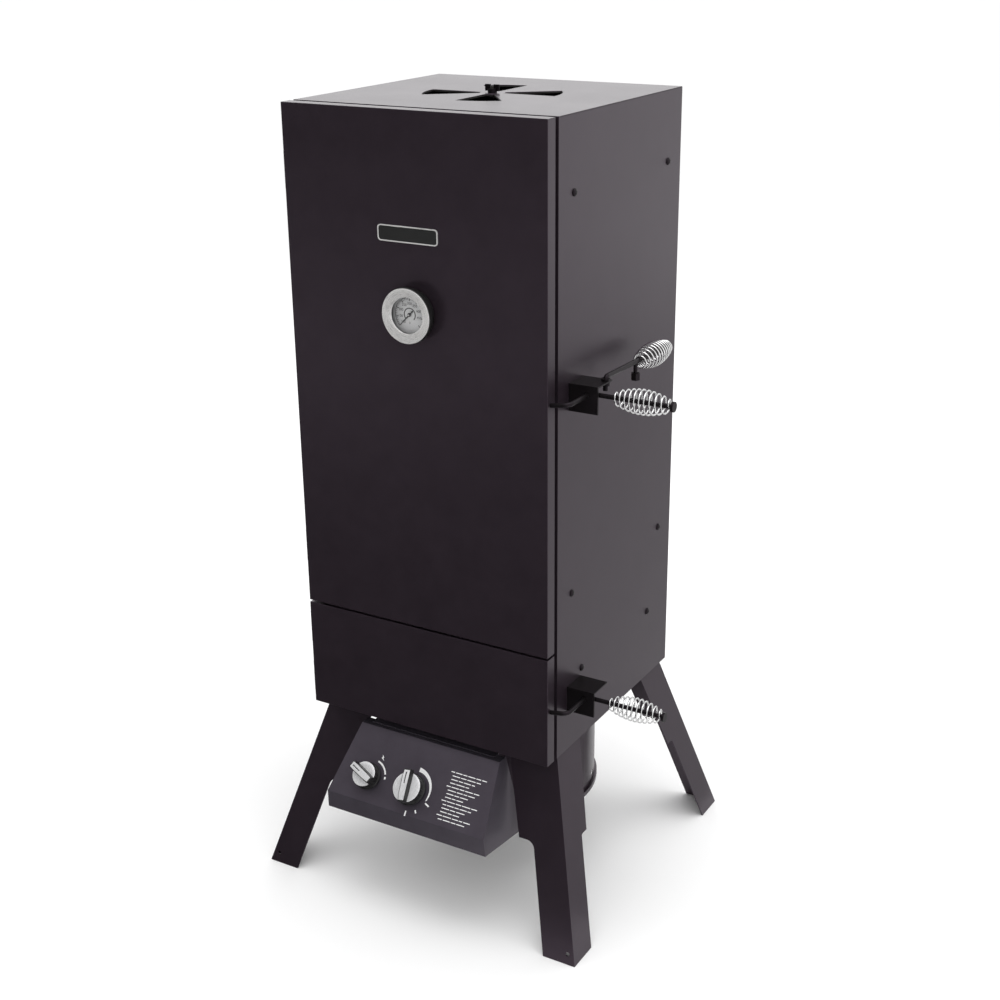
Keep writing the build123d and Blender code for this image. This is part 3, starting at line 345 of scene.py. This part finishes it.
def gasket_weave(name):
    """A braided gasket: two crossing wave bands that give a diagonal plait."""
    finish = Finish(name, (0.02, 0.02, 0.021), 0.93)
    plait = None
    for tilt in (1.0, -1.0):
        wave = finish.node("ShaderNodeTexWave", bands_direction="DIAGONAL")
        wave.inputs["Scale"].default_value = 130
        finish.tree.links.new(finish.stretched((tilt, 1, 1)), wave.inputs["Vector"])
        band = wave.outputs["Fac"]
        plait = band if plait is None else finish.math("MAXIMUM", plait, band)
    shadow, yarn = (0.008, 0.008, 0.008), (0.04, 0.04, 0.042)
    finish.drive("Base Color", finish.ramp(plait, ((0.4, shadow), (0.9, yarn))))
    finish.bump(plait, 0.8, 0.0009)
    finish.bump(finish.noise(2200, 2), 0.4, 0.0003)
    return finish.material


def moulded(name, colour, roughness):
    """Moulded plastic with a fine spark-eroded grain."""
    finish = Finish(name, colour, roughness)
    sheen = finish.spread(finish.noise(55, 4), 0.3, 0.7, roughness * 0.8, roughness * 1.25)
    finish.drive("Roughness", sheen)
    dark, light = [c * 0.85 for c in colour], [c * 1.1 for c in colour]
    tint = finish.ramp(finish.noise(18, 3), ((0.3, dark), (0.7, light)))
    finish.drive("Base Color", tint)
    finish.bump(finish.cells(1600), 0.12, 0.0002)
    return finish.material


def silver_cap(name):
    """Brushed silver paint on a knob's cap."""
    finish = Finish(name, (0.66, 0.66, 0.67), 0.3, metallic=0.35)
    brushed = finish.noise(1.0, 3, 0.6, finish.stretched((2600, 120, 120)))
    finish.drive("Roughness", finish.spread(brushed, 0.3, 0.7, 0.24, 0.42))
    dull, bright = (0.62, 0.62, 0.63), (0.86, 0.86, 0.87)
    finish.drive("Base Color", finish.ramp(brushed, ((0.25, dull), (0.7, bright))))
    finish.bump(brushed, 0.12, 0.0002)
    return finish.material


def printed(name, colour):
    """Screen-printed ink: slightly uneven edges of colour on a matt film."""
    finish = Finish(name, colour, 0.55)
    thin = [c * 0.8 for c in colour]
    finish.drive("Base Color", finish.ramp(finish.noise(900, 3), ((0.3, thin), (0.6, colour))))
    finish.bump(finish.noise(1800, 2), 0.1, 0.0001)
    return finish.material


def dial_paint(name, centre):
    """Satin aluminium dial, darker towards the rim with painted shade from the bezel."""
    finish = Finish(name, (0.6, 0.6, 0.6), 0.4, metallic=0.15)
    _, distance = around_axis(finish, centre, "Y")
    # Painted shade: the dial's colour darkens with distance from the centre, towards the bezel.
    finish.drive("Base Color", finish.ramp(
        finish.spread(distance, 0.0, 0.03, 0, 1), ((0.2, (0.7, 0.7, 0.7)), (1.0, (0.5, 0.5, 0.51)))))
    finish.bump(finish.noise(1200, 3), 0.1, 0.0002)
    return finish.material


def window_glass(name):
    finish = Finish(name, (1, 1, 1), 0.02)
    finish.shader.inputs["Transmission Weight"].default_value = 1.0
    finish.shader.inputs["IOR"].default_value = 1.45
    finish.drive("Roughness", finish.spread(finish.noise(120, 5, 0.7), 0.45, 0.9, 0.01, 0.08))
    return finish.material


def rubber(name):
    finish = Finish(name, (0.018, 0.018, 0.018), 0.62)
    dark, light = (0.012, 0.012, 0.012), (0.03, 0.03, 0.03)
    finish.drive("Base Color", finish.ramp(finish.noise(40, 4), ((0.3, dark), (0.7, light))))
    finish.bump(finish.noise(900, 3), 0.3, 0.0003)
    return finish.material


def ceramic(name):
    finish = Finish(name, (0.82, 0.8, 0.74), 0.2)
    cream, white = (0.72, 0.7, 0.64), (0.86, 0.84, 0.79)
    finish.drive("Base Color", finish.ramp(finish.noise(90, 4), ((0.3, cream), (0.7, white))))
    finish.bump(finish.noise(500, 2), 0.08, 0.0003)
    return finish.material


def scorched_coat(name):
    """Black coat inside the chamber, dulled by smoke."""
    finish = Finish(name, (0.02, 0.019, 0.018), 0.6)
    dark, light = (0.017, 0.016, 0.015), (0.026, 0.024, 0.022)
    soot = finish.ramp(finish.noise(9, 6, 0.65), ((0.3, dark), (0.75, light)))
    finish.drive("Base Color", soot)
    finish.drive("Roughness", finish.spread(finish.noise(7, 4), 0.3, 0.7, 0.54, 0.66))
    finish.bump(finish.noise(500, 3), 0.25, 0.0004)
    return finish.material


# --- mesh helpers -------------------------------------------------------------------
def mesh_object(name, build, material, smooth=True):
    """A new mesh piece made by a function that fills a bmesh, in row coordinates."""
    mesh = bpy.data.meshes.new(name)
    work = bmesh.new()
    build(work)
    bmesh.ops.recalc_face_normals(work, faces=work.faces)
    work.to_mesh(mesh)
    work.free()
    if smooth:
        mesh.polygons.foreach_set("use_smooth", [True] * len(mesh.polygons))
    piece = bpy.data.objects.new(name, mesh)
    bpy.context.scene.collection.objects.link(piece)
    materials = material if isinstance(material, (list, tuple)) else [material]
    for item in materials:
        mesh.materials.append(item)
    return piece


def bevelled(piece, width, segments=2, angle=35):
    """Rounds a piece's sharp edges."""
    weld = piece.modifiers.new("weld", "WELD")
    weld.merge_threshold = 0.00002
    flat = piece.modifiers.new("flat", "DECIMATE")
    flat.decimate_type = "DISSOLVE"
    flat.angle_limit = math.radians(0.5)
    bevel = piece.modifiers.new("bevel", "BEVEL")
    bevel.width = width
    bevel.segments = segments
    bevel.limit_method = "ANGLE"
    bevel.angle_limit = math.radians(angle)
    bevel.harden_normals = False
    normals = piece.modifiers.new("normals", "WEIGHTED_NORMAL")
    normals.keep_sharp = False
    normals.weight = 60
    return piece


def axes_frame(centre, along, up=None):
    """A matrix whose Z is along a direction; its Y is as near up as can be."""
    along = Vector(along).normalized()
    up = Vector(up or ((0, 0, 1) if abs(along.z) < 0.9 else (0, 1, 0)))
    across = up.cross(along).normalized()
    up = along.cross(across)
    turn = Matrix((across, up, along)).transposed().to_4x4()
    return Matrix.Translation(centre) @ turn


def lathe(work, profile, matrix, steps=64, material=0):
    """Turns a profile of (radius, height) points round the matrix's Z axis."""
    rings = []
    for radius, height in profile:
        if radius < 1e-7:
            rings.append([work.verts.new(matrix @ Vector((0, 0, height)))])
            continue
        ring = []
        for step in range(steps):
            angle = 2 * math.pi * step / steps
            place = Vector((radius * math.cos(angle), radius * math.sin(angle), height))
            ring.append(work.verts.new(matrix @ place))
        rings.append(ring)
    for first, second in zip(rings, rings[1:]):
        for step in range(steps):
            following = (step + 1) % steps
            corners = [first[step % len(first)], first[following % len(first)]]
            corners += [second[following % len(second)], second[step % len(second)]]
            unique = list(dict.fromkeys(corners))
            if len(unique) > 2:
                work.faces.new(unique).material_index = material


def prism(work, outline, matrix, low_z, high_z, material=0):
    """A flat shape given by its outline, thickened along the matrix's Z."""
    bottom = [work.verts.new(matrix @ Vector((x, y, low_z))) for x, y in outline]
    top = [work.verts.new(matrix @ Vector((x, y, high_z))) for x, y in outline]
    work.faces.new(bottom).material_index = material
    work.faces.new(list(reversed(top))).material_index = material
    count = len(outline)
    for number in range(count):
        following = (number + 1) % count
        side = [bottom[number], bottom[following], top[following], top[number]]
        work.faces.new(side).material_index = material


def rectangle(left, right, half):
    """The outline of a strip along X, from its left end to its right."""
    return [(left, -half), (right, -half), (right, half), (left, half)]


def tube(work, points, radius, sides=10):
    """A closed round tube through a list of points, with a frame carried along the path."""
    previous = None
    rings = []
    for number, point in enumerate(points):
        ahead = points[min(number + 1, len(points) - 1)] - points[max(number - 1, 0)]
        ahead.normalize()
        if previous is None:
            side = ahead.orthogonal().normalized()
        else:
            side = (previous - ahead * previous.dot(ahead)).normalized()
        previous = side
        other = ahead.cross(side)
        ring = []
        for step in range(sides):
            angle = 2 * math.pi * step / sides
            spoke = (side * math.cos(angle) + other * math.sin(angle)) * radius
            ring.append(work.verts.new(point + spoke))
        rings.append(ring)
    for first, second in zip(rings, rings[1:]):
        for step in range(sides):
            following = (step + 1) % sides
            work.faces.new((first[step], first[following], second[following], second[step]))
    work.faces.new(rings[0])
    work.faces.new(list(reversed(rings[-1])))


def islands(node):
    """The boxes of a node's separate solids."""
    work = bmesh.new()
    work.from_mesh(NODES[node].data)
    bmesh.ops.remove_doubles(work, verts=work.verts, dist=0.00002)
    left = set(work.verts)
    boxes = []
    while left:
        front = [left.pop()]
        group = list(front)
        while front:
            vertex = front.pop()
            for edge in vertex.link_edges:
                other = edge.other_vert(vertex)
                if other in left:
                    left.remove(other)
                    front.append(other)
                    group.append(other)
        lows = Vector([min(v.co[i] for v in group) for i in range(3)])
        highs = Vector([max(v.co[i] for v in group) for i in range(3)])
        boxes.append((lows, highs))
    work.free()
    return sorted(boxes, key=lambda box: tuple(round(c, 4) for c in box[0]))


# --- pieces -------------------------------------------------------------------------
def coil_grip(node, body, turns=10.5):
    """A wound wire grip, fat in the middle, whose ends curl in to the rod."""
    wire = GRIP_WIRE_RADIUS
    start, end = grip_line(node)
    size = high(node) - low(node)
    belly = sorted(size)[0] / 2 - wire
    turn_frame = axes_frame(start, end - start)
    length = (end - start).length - 2 * wire
    per_turn = 32
    steps = int(turns * per_turn)
    points = []
    for number in range(steps + 1):
        share = number / steps
        swell = math.sin(math.pi * share) ** 0.8
        curl = min(1.0, 3.0 * number / per_turn, 3.0 * (steps - number) / per_turn)
        radius = (GRIP_END_RADIUS + (belly - GRIP_END_RADIUS) * swell) * (0.55 + 0.45 * curl)
        angle = 2 * math.pi * turns * share
        height = wire + length * (share + 0.012 * math.sin(2 * math.pi * share))
        points.append(turn_frame @ Vector((radius * math.cos(angle), radius * math.sin(angle), height)))
    piece = mesh_object(f"{node}_wire", lambda work: tube(work, points, wire), MATERIALS["wire"])
    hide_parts(node)
    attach(piece, body)


def grip_line(node):
    """The two ends of a grip's axis, along the longest side of its CAD box."""
    size = high(node) - low(node)
    axis = max(range(3), key=lambda number: size[number])
    start, end = middle(node), middle(node)
    start[axis], end[axis] = low(node)[axis], high(node)[axis]
    return start, end


def pan_heads(material):
    """Domed screw heads with a cross recess, and their nuts inside."""
    def build(work):
        for lows, highs in islands("side_screws"):
            sign = 1 if lows.x > 0 else -1
            centre = (lows + highs) / 2
            outer = highs.x if sign > 0 else -lows.x
            inner = lows.x if sign > 0 else -highs.x
            seat = outer - 3.0 * MM
            turn = axes_frame(Vector((sign * seat, centre.y, centre.z)), (sign, 0, 0))
            radius, rise = 5.2 * MM, 2.6 * MM
            nut_low = -(seat - inner)
            profile = [(0, nut_low), (2.4 * MM, nut_low), (2.4 * MM, 0), (radius, 0), (radius, 0.5 * MM)]
            for step in range(1, 9):
                angle = math.pi / 2 * step / 8
                reach = radius * math.cos(angle) if step < 8 else 0
                profile.append((reach, 0.5 * MM + rise * math.sin(angle)))
            lathe(work, profile, turn, 28)
            corners = [math.pi * number / 3 for number in range(6)]
            nut = [(4.6 * MM * math.cos(angle), 4.6 * MM * math.sin(angle)) for angle in corners]
            prism(work, nut, turn, nut_low, nut_low + 3 * MM)
            for spin in (0.4, 0.4 + math.pi / 2):
                groove = Matrix.Rotation(spin, 4, "Z")
                slot = rectangle(-2.3 * MM, 2.3 * MM, 0.42 * MM)
                prism(work, slot, turn @ groove, 2.4 * MM, 3.08 * MM, 1)

    dark = MATERIALS["recess"]
    piece = mesh_object("pan_head_screws", build, [material, dark])
    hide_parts("side_screws")
    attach(piece, "cabinet")


def gauge_bezel(material):
    """The wide turned ring, dished towards the dial, with a rolled outer edge whose outer side is black,
    a painted dark reflection.
    """
    centre = joint_place("needle_turn")
    centre.y = high("gauge_bezel").y
    depth = high("gauge_bezel").y - low("gauge_bezel").y
    outer = (high("gauge_bezel").x - low("gauge_bezel").x) / 2
    inner = BEZEL_WINDOW
    turn = axes_frame(centre, (0, -1, 0))
    rim = [(outer - 2.4 * MM, 0), (outer - 0.6 * MM, 0), (outer, 0.8 * MM), (outer, depth - 2.4 * MM)]
    roll = []
    for step in range(7):
        angle = math.pi / 2 * step / 6
        inward, rise = 2.2 * MM * (1 - math.cos(angle)), 2.4 * MM * math.sin(angle)
        roll.append((outer - inward, depth - 2.4 * MM + rise))
    rim += roll[1:4]
    dish = roll[3:] + [(outer - 5 * MM, depth - 0.3 * MM), (inner + 3 * MM, depth - 2.6 * MM)]
    dish += [(inner + 0.8 * MM, depth - 3.2 * MM), (inner, depth - 3.9 * MM), (inner, depth - 4.0 * MM)]
    dish += [(outer - 2.4 * MM, depth - 4.0 * MM), (outer - 2.4 * MM, 0)]

    def build(work):
        lathe(work, dish, turn, 128)
        # The outer edge and the outer half of the roll take the black material, a painted dark
        # reflection on the rim.
        lathe(work, rim, turn, 128, 1)
        bmesh.ops.remove_doubles(work, verts=work.verts, dist=0.00001)

    piece = mesh_object("gauge_bezel_ring", build, material)
    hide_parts("gauge_bezel")
    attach(piece, "upper_door")


def gauge_cup(material):
    """The stepped, ribbed black cup behind the bezel."""
    centre = middle("gauge_housing")
    centre.y = high("gauge_housing").y
    depth = high("gauge_housing").y - low("gauge_housing").y
    outer = (high("gauge_housing").x - low("gauge_housing").x) / 2
    turn = axes_frame(centre, (0, -1, 0))
    profile = [(0, 0), (outer - 4 * MM, 0), (outer - 3 * MM, 0.6 * MM), (outer - 3 * MM, 3 * MM)]
    profile += [(outer - 1.2 * MM, 3.6 * MM), (outer - 1.2 * MM, 7.5 * MM), (outer - 0.2 * MM, 8.2 * MM)]
    profile += [(outer - 0.2 * MM, depth), (31.5 * MM, depth), (31.5 * MM, 8 * MM), (0, 8 * MM)]
    piece = mesh_object("gauge_cup", lambda work: lathe(work, profile, turn, 96), material)
    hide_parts("gauge_housing")
    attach(piece, "upper_door")
    return piece


def text_outline(text, size, matrix, work, lift):
    """Adds short generic lettering, such as a dial's numbers, as thin raised print."""
    curve = bpy.data.curves.new("print", "FONT")
    curve.body = text
    curve.size = size
    curve.align_x = "CENTER"
    curve.align_y = "CENTER"
    curve.extrude = lift / 2
    holder = bpy.data.objects.new("print", curve)
    mesh = bpy.data.meshes.new_from_object(holder)
    mesh.transform(matrix)
    work.from_mesh(mesh)
    bpy.data.objects.remove(holder)
    bpy.data.meshes.remove(mesh)
    bpy.data.curves.remove(curve)


def dial_print(material):
    """Graduations and temperature numbers round the dial."""
    centre = joint_place("needle_turn")
    centre.y = high("gauge_dial").y - 1.0 * MM - 0.05 * MM
    turn = axes_frame(centre, (0, -1, 0))
    start, sweep = DIAL_START, DIAL_SWEEP
    lift = DIAL_PRINT_LIFT

    def build(work):
        for number in range(41):
            angle = math.radians(start - sweep * number / 40)
            major = number % 5 == 0
            inner, outer = (18.6 if major else 20.2) * MM, 22.4 * MM
            half = (0.6 if major else 0.28) * MM
            mark = Matrix.Rotation(angle, 4, "Z")
            prism(work, rectangle(inner, outer, half), turn @ mark, 0, lift)
        for number in range(8):
            angle = math.radians(start - sweep * number / 8)
            value = str(100 + 50 * number)
            radius = 15.0 * MM
            spot = Matrix.Translation((radius * math.cos(angle), radius * math.sin(angle), lift / 2))
            text_outline(value, 5.0 * MM, turn @ spot, work, lift)
        for inner, outer in ((22.6, 23.3), (8.0, 9.4)):
            ends = math.radians(start - sweep), math.radians(start)
            ring(work, turn, inner * MM, outer * MM, 0, lift, *ends)
        text_outline("F", 4.6 * MM, turn @ Matrix.Translation((0, -11.5 * MM, lift / 2)), work, lift)

    piece = mesh_object("gauge_dial_print", build, material, smooth=False)
    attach(piece, "upper_door")


def ring(work, matrix, inner, outer, low_z, high_z, start, end, end_outer=None, steps=48):
    """Part of a flat ring; its outer radius can taper from outer to end_outer."""
    end_outer = end_outer or outer
    outline = []
    for step in range(steps + 1):
        share = step / steps
        angle = start + (end - start) * share
        radius = outer + (end_outer - outer) * share
        outline.append((radius * math.cos(angle), radius * math.sin(angle)))
    for step in range(steps + 1):
        angle = end + (start - end) * step / steps
        outline.append((inner * math.cos(angle), inner * math.sin(angle)))
    count = steps + 1
    low_ring = [work.verts.new(matrix @ Vector((x, y, low_z))) for x, y in outline]
    high_ring = [work.verts.new(matrix @ Vector((x, y, high_z))) for x, y in outline]
    for verts in (low_ring, high_ring):
        for step in range(steps):
            across = 2 * count - 1 - step
            face = [verts[step], verts[step + 1], verts[across - 1], verts[across]]
            work.faces.new(face)
    total = len(outline)
    for number in range(total):
        following = (number + 1) % total
        side = [low_ring[number], low_ring[following], high_ring[following], high_ring[number]]
        work.faces.new(side)


def gauge_needle(material):
    """A slim pointer with a counterweight and a domed hub."""
    centre = joint_place("needle_turn")
    centre.y = high("gauge_needle").y
    turn = axes_frame(centre, (0, -1, 0)) @ Matrix.Rotation(math.radians(DIAL_START), 4, "Z")

    def build(work):
        outline = [(-8 * MM, -1.1 * MM), (-3 * MM, -0.7 * MM), (16 * MM, -0.55 * MM), (23 * MM, 0)]
        outline += [(16 * MM, 0.55 * MM), (-3 * MM, 0.7 * MM), (-8 * MM, 1.1 * MM)]
        prism(work, outline, turn, 0.1 * MM, 0.6 * MM)
        hub = [(0, 0), (2.6 * MM, 0), (2.6 * MM, 0.8 * MM)]
        hub += [(2.2 * MM, 1.3 * MM), (1.1 * MM, 1.6 * MM), (0, 1.6 * MM)]
        lathe(work, hub, turn, 32)

    piece = mesh_object("gauge_pointer", build, material)
    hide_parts("gauge_needle")
    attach(piece, "needle")


def knob_piece(name, node, body, joint, radius, bar_reach, tilt):
    """A control knob: fluted black skirt, silver cap and a raised grip bar."""
    normal = -joint_axis(joint)
    face = axes_frame(joint_place(joint), normal, (0, 0, 1))
    turn = face @ Matrix.Rotation(math.radians(tilt), 4, "Z")
    base = KNOB_REST_GAP
    bore = STEM_HOLE_RADIUS + 0.2 * MM
    steps = 72

    def skirt(work):
        profile = [(STEM_HOLE_RADIUS, base), (radius, base), (radius, base + 2.2 * MM)]
        profile += [(radius - 1.1 * MM, base + 3.0 * MM), (radius - 2.6 * MM, base + 14.0 * MM)]
        profile += [(STEM_HOLE_RADIUS, base + 14.0 * MM), (STEM_HOLE_RADIUS, base)]
        lathe(work, profile, turn, steps)
        for number in range(24):
            angle = 2 * math.pi * number / 24
            rib = turn @ Matrix.Rotation(angle, 4, "Z")
            root, crest = radius - 3 * MM, radius - 1.2 * MM
            outline = [(root, -0.9 * MM), (crest, -0.5 * MM), (crest, 0.5 * MM), (root, 0.9 * MM)]
            prism(work, outline, rib, base + 3 * MM, base + 13.2 * MM)

    def cap(work):
        edge = radius - 1.9 * MM
        top = base + 15.0 * MM
        foot = base + 13.6 * MM
        profile = [(bore, foot), (edge, foot), (edge, top - 0.6 * MM), (edge - 0.8 * MM, top)]
        profile += [(edge - 4 * MM, top + 0.5 * MM), (bore, top + 0.8 * MM), (bore, foot)]
        lathe(work, profile, turn, steps)

    def bar_sections(outline_at):
        front, back = bar_reach, -(radius - 1.2 * MM)
        sections = []
        for share in (0.0, 0.04, 0.25, 0.5, 0.75, 0.96, 1.0):
            y = back + (front - back) * share
            edge = abs(share - 0.5) * 2
            wide = 7.0 * MM * (1.0 - 0.16 * edge ** 6) * (1.0 + 0.1 * share)
            height = base + 24.0 * MM - 1.6 * MM * edge ** 4
            outline = outline_at(wide, height, 0.2 < share < 0.8)
            sections.append([turn @ Vector((x, y, z)) for x, z in outline])
        return sections

    def loft(work, sections):
        rings = [[work.verts.new(point) for point in section] for section in sections]
        for first, second in zip(rings, rings[1:]):
            for step in range(len(first)):
                following = (step + 1) % len(first)
                work.faces.new((first[step], first[following], second[following], second[step]))
        work.faces.new(rings[0])
        work.faces.new(list(reversed(rings[-1])))

    def grip(work):
        def outline(wide, height, hollow):
            slope, foot = wide * 0.78, base + 14 * MM
            roof = base + 20 * MM if hollow else foot + 0.05 * MM
            outer = [(-wide, foot), (-slope, height), (slope, height), (wide, foot)]
            mouth = bore + 0.5 * MM
            return outer + [(mouth, foot), (bore, roof), (-bore, roof), (-mouth, foot)]

        loft(work, bar_sections(outline))

    def inlay(work):
        def outline(wide, height, _):
            edge, foot, top = wide * 0.78 - 0.9 * MM, height - 0.5 * MM, height + 0.3 * MM
            return (-edge, foot), (-edge, top), (edge, top), (edge, foot)

        loft(work, bar_sections(outline)[1:-1])

    def pointer(work):
        half, start, end = 0.7 * MM, radius * 0.15, bar_reach - 5 * MM
        outline = [(-half, start), (half, start), (half, end), (-half, end)]
        prism(work, outline, turn, base + 23 * MM, base + 24.4 * MM)

    pieces = [
        bevelled(mesh_object(f"{name}_skirt", skirt, MATERIALS["black_plastic"]), 0.35 * MM),
        bevelled(mesh_object(f"{name}_cap", cap, MATERIALS["silver_knob"]), 0.3 * MM),
        bevelled(mesh_object(f"{name}_grip", grip, MATERIALS["black_plastic"]), 0.9 * MM, 4, 20),
        bevelled(mesh_object(f"{name}_inlay", inlay, MATERIALS["silver_knob"]), 0.25 * MM),
        mesh_object(f"{name}_pointer", pointer, MATERIALS["print_black"]),
    ]
    for piece in pieces:
        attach(piece, body)
    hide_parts(node)


def panel_print(material):
    """The printed marks on the panel: a spark, the knobs' arcs and plain rule lines."""
    normal = -joint_axis("gas_stem_turn")
    gas = axes_frame(joint_place("gas_stem_turn"), normal, (0, 0, 1))
    spark = axes_frame(joint_place("igniter_turn"), normal, (0, 0, 1))
    lift = PRINT_LIFT

    def build(work):
        ring(work, gas, 28.5 * MM, 35.0 * MM, 0, lift, math.radians(88), math.radians(-18), 30.0 * MM)
        ring(work, spark, 25.0 * MM, 27.6 * MM, 0, lift, math.radians(78), math.radians(22))
        ring(work, spark, 25.0 * MM, 27.6 * MM, 0, lift, math.radians(14), math.radians(6))
        bolt = [(9, 37), (13, 33), (11.4, 32.6), (14.4, 28.4), (8.6, 32.2), (10.4, 32.8)]
        prism(work, [(x * MM, y * MM) for x, y in bolt], spark, 0, lift)
        for angle, length in ((-24, 8), (-86, 8), (-58, 5)):
            mark = gas @ Matrix.Rotation(math.radians(angle), 4, "Z")
            prism(work, rectangle(31 * MM, (31 + length) * MM, 1.1 * MM), mark, 0, lift)
        for number in range(14):
            y = 42 * MM - number * 5.4 * MM
            left = (52 if number % 4 == 0 else 56) * MM
            right = (112 - 8 * ((number * 5) % 4)) * MM
            word = 0
            while left < right - 4 * MM:
                reach = min(left + (6 + (number * 7 + word * 5) % 9) * MM, right)
                line = Matrix.Translation((0, y + 0.6 * MM, 0))
                prism(work, rectangle(left, reach, 0.6 * MM), gas @ line, 0, lift)
                left = reach + 1.6 * MM
                word += 1

    piece = mesh_object("panel_print", build, material, smooth=False)
    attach(piece, "cabinet")


def badge(rim, face):
    """A plain plate with a bright raised rim."""
    lows, highs = low("name_plate"), high("name_plate")
    half = Vector(((highs.x - lows.x) / 2, (highs.z - lows.z) / 2))
    centre = Vector(((lows.x + highs.x) / 2, highs.y, (lows.z + highs.z) / 2))
    turn = axes_frame(centre, (0, -1, 0))
    depth = highs.y - lows.y

    def rounded(half_x, half_y, radius):
        points = []
        for corner, (sx, sy) in enumerate(((1, 1), (-1, 1), (-1, -1), (1, -1))):
            for step in range(7):
                angle = math.pi / 2 * (corner + step / 6)
                x = sx * (half_x - radius) + radius * math.cos(angle)
                y = sy * (half_y - radius) + radius * math.sin(angle)
                points.append((x, y))
        return points

    def build(work):
        outer = rounded(half.x, half.y, 5 * MM)
        inner = rounded(half.x - 1.6 * MM, half.y - 1.6 * MM, 3.6 * MM)
        loops = []
        for outline, height in ((outer, 0), (outer, depth), (inner, depth), (inner, depth - 0.7 * MM)):
            loops.append([work.verts.new(turn @ Vector((x, y, height))) for x, y in outline])
        for first, second in zip(loops, loops[1:]):
            for number in range(len(outer)):
                following = (number + 1) % len(outer)
                work.faces.new((first[number], first[following], second[following], second[number]))
        work.faces.new(loops[0])
        work.faces.new(loops[-1]).material_index = 1

    piece = bevelled(mesh_object("badge_plate", build, [rim, face], smooth=False), 0.25 * MM)
    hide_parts("name_plate")
    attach(piece, "upper_door")


# --- dressing of the CAD nodes ------------------------------------------------------
def dress(names, material):
    for name in names:
        data = NODES[name].data
        data.materials.clear()
        data.materials.append(material)


add_camera()
add_studio()
needle_centre = joint_place("needle_turn")
MATERIALS = {
    "coat": powder_coat("coat_black", (0.0158, 0.0112, 0.015), 0.32),
    "panel_coat": powder_coat("coat_panel", (0.042, 0.038, 0.047), 0.42),
    "hardware": powder_coat("coat_hardware", (0.005, 0.0045, 0.0045), 0.36, 0.6, 0.2),
    "soot": scorched_coat("coat_inside"),
    "wire": bright_wire("wire_chrome", (0.86, 0.86, 0.86), 0.12),
    "grate": bright_wire("wire_grate", (0.7, 0.7, 0.7), 0.2),
    "turned": turned_steel("steel_turned", needle_centre, "Y", (0.8, 0.79, 0.78), 0.3),
    "steel": bright_wire("steel_plain", (0.6, 0.59, 0.58), 0.28),
    "zinc": sheet_zinc("steel_zinc"),
    "enamel": enamel("enamel_black"),
    "iron": cast_iron("iron_cast"),
    "brass": brass("brass_plain"),
    "gasket": gasket_weave("gasket_braid"),
    "black_plastic": moulded("plastic_black", (0.014, 0.014, 0.014), 0.38),
    "silver_knob": silver_cap("paint_silver"),
    "recess": moulded("recess_black", (0.004, 0.004, 0.004), 0.7),
    "print_white": printed("print_white", (0.88, 0.88, 0.88)),
    "print_black": printed("print_black", (0.02, 0.02, 0.02)),
    "dial": dial_paint("dial_satin", needle_centre),
    "glass": window_glass("glass_clear"),
    "rubber": rubber("rubber_black"),
    "ceramic": ceramic("ceramic_white"),
}

DRESSING = {
    "coat": [
        "cabinet_left_side", "cabinet_right_side", "cabinet_back", "cabinet_top", "cabinet_floor",
        "cabinet_divider", "leg_front_left", "leg_front_right", "leg_rear_left", "leg_rear_right",
        "burner_drum",
        "upper_door_shell", "lower_door_shell",
    ],
    "panel_coat": ["control_panel"],
    "hardware": [
        "floor_bolts", "side_screws", "upper_latch_bracket", "lower_latch_bracket", "upper_latch_rod",
        "lower_latch_rod", "lever_rod", "hinge_fixed_leaves", "upper_door_hinge_leaves",
        "lower_door_hinge_leaves", "gauge_housing", "damper_knob",
    ],
    "soot": [
        "upper_door_liner", "lower_door_liner", "damper_disc", "grate_rack_left", "grate_rack_right",
        "tray_supports",
    ],
    "wire": ["upper_latch_coil", "lower_latch_coil", "lever_coil"],
    "grate": [f"cooking_grate_{number}" for number in range(1, 5)],
    "steel": ["gauge_bezel", "gauge_probe", "hinge_pins", "gas_stem"],
    "zinc": ["burner_bracket", "burner_venturi"],
    "enamel": ["water_pan", "wood_chip_tray"],
    "iron": ["burner_head"],
    "brass": ["gas_valve", "gas_inlet"],
    "gasket": ["door_seals"],
    "ceramic": ["igniter_electrode"],
    "black_plastic": ["igniter_body", "gauge_needle", "name_plate"],
    "silver_knob": ["gas_knob", "igniter_knob"],
    "rubber": ["ignition_lead"],
    "glass": ["gauge_glass"],
    "dial": ["gauge_dial"],
}
for key, names in DRESSING.items():
    dress(names, MATERIALS[key])

ROUNDED = {
    1.2 * MM: ["upper_door_shell", "lower_door_shell", "cabinet_top"],
    0.5 * MM: ["control_panel"],
    0.6 * MM: [
        "leg_front_left", "leg_front_right", "leg_rear_left", "leg_rear_right",
        "upper_latch_bracket", "lower_latch_bracket", "damper_knob",
    ],
}
for width, names in ROUNDED.items():
    for name in names:
        bevelled(NODES[name], width)

coil_grip("upper_latch_coil", "upper_latch")
coil_grip("lower_latch_coil", "lower_latch")
coil_grip("lever_coil", "spring_lever", turns=12)
pan_heads(MATERIALS["hardware"])
# The second material blackens the bezel's outer edge as a painted dark reflection.
gauge_bezel([MATERIALS["turned"], MATERIALS["black_plastic"]])
gauge_cup(MATERIALS["black_plastic"])
dial_print(MATERIALS["print_black"])
gauge_needle(MATERIALS["print_black"])
knob_piece("gas_knob", "gas_knob", "gas_knob", "gas_stem_turn", 24 * MM, 25.5 * MM, 8)
knob_piece("igniter_knob", "igniter_knob", "igniter_knob", "igniter_turn", 20.5 * MM, 23.0 * MM, 67)
panel_print(MATERIALS["print_white"])
badge(MATERIALS["turned"], MATERIALS["black_plastic"])
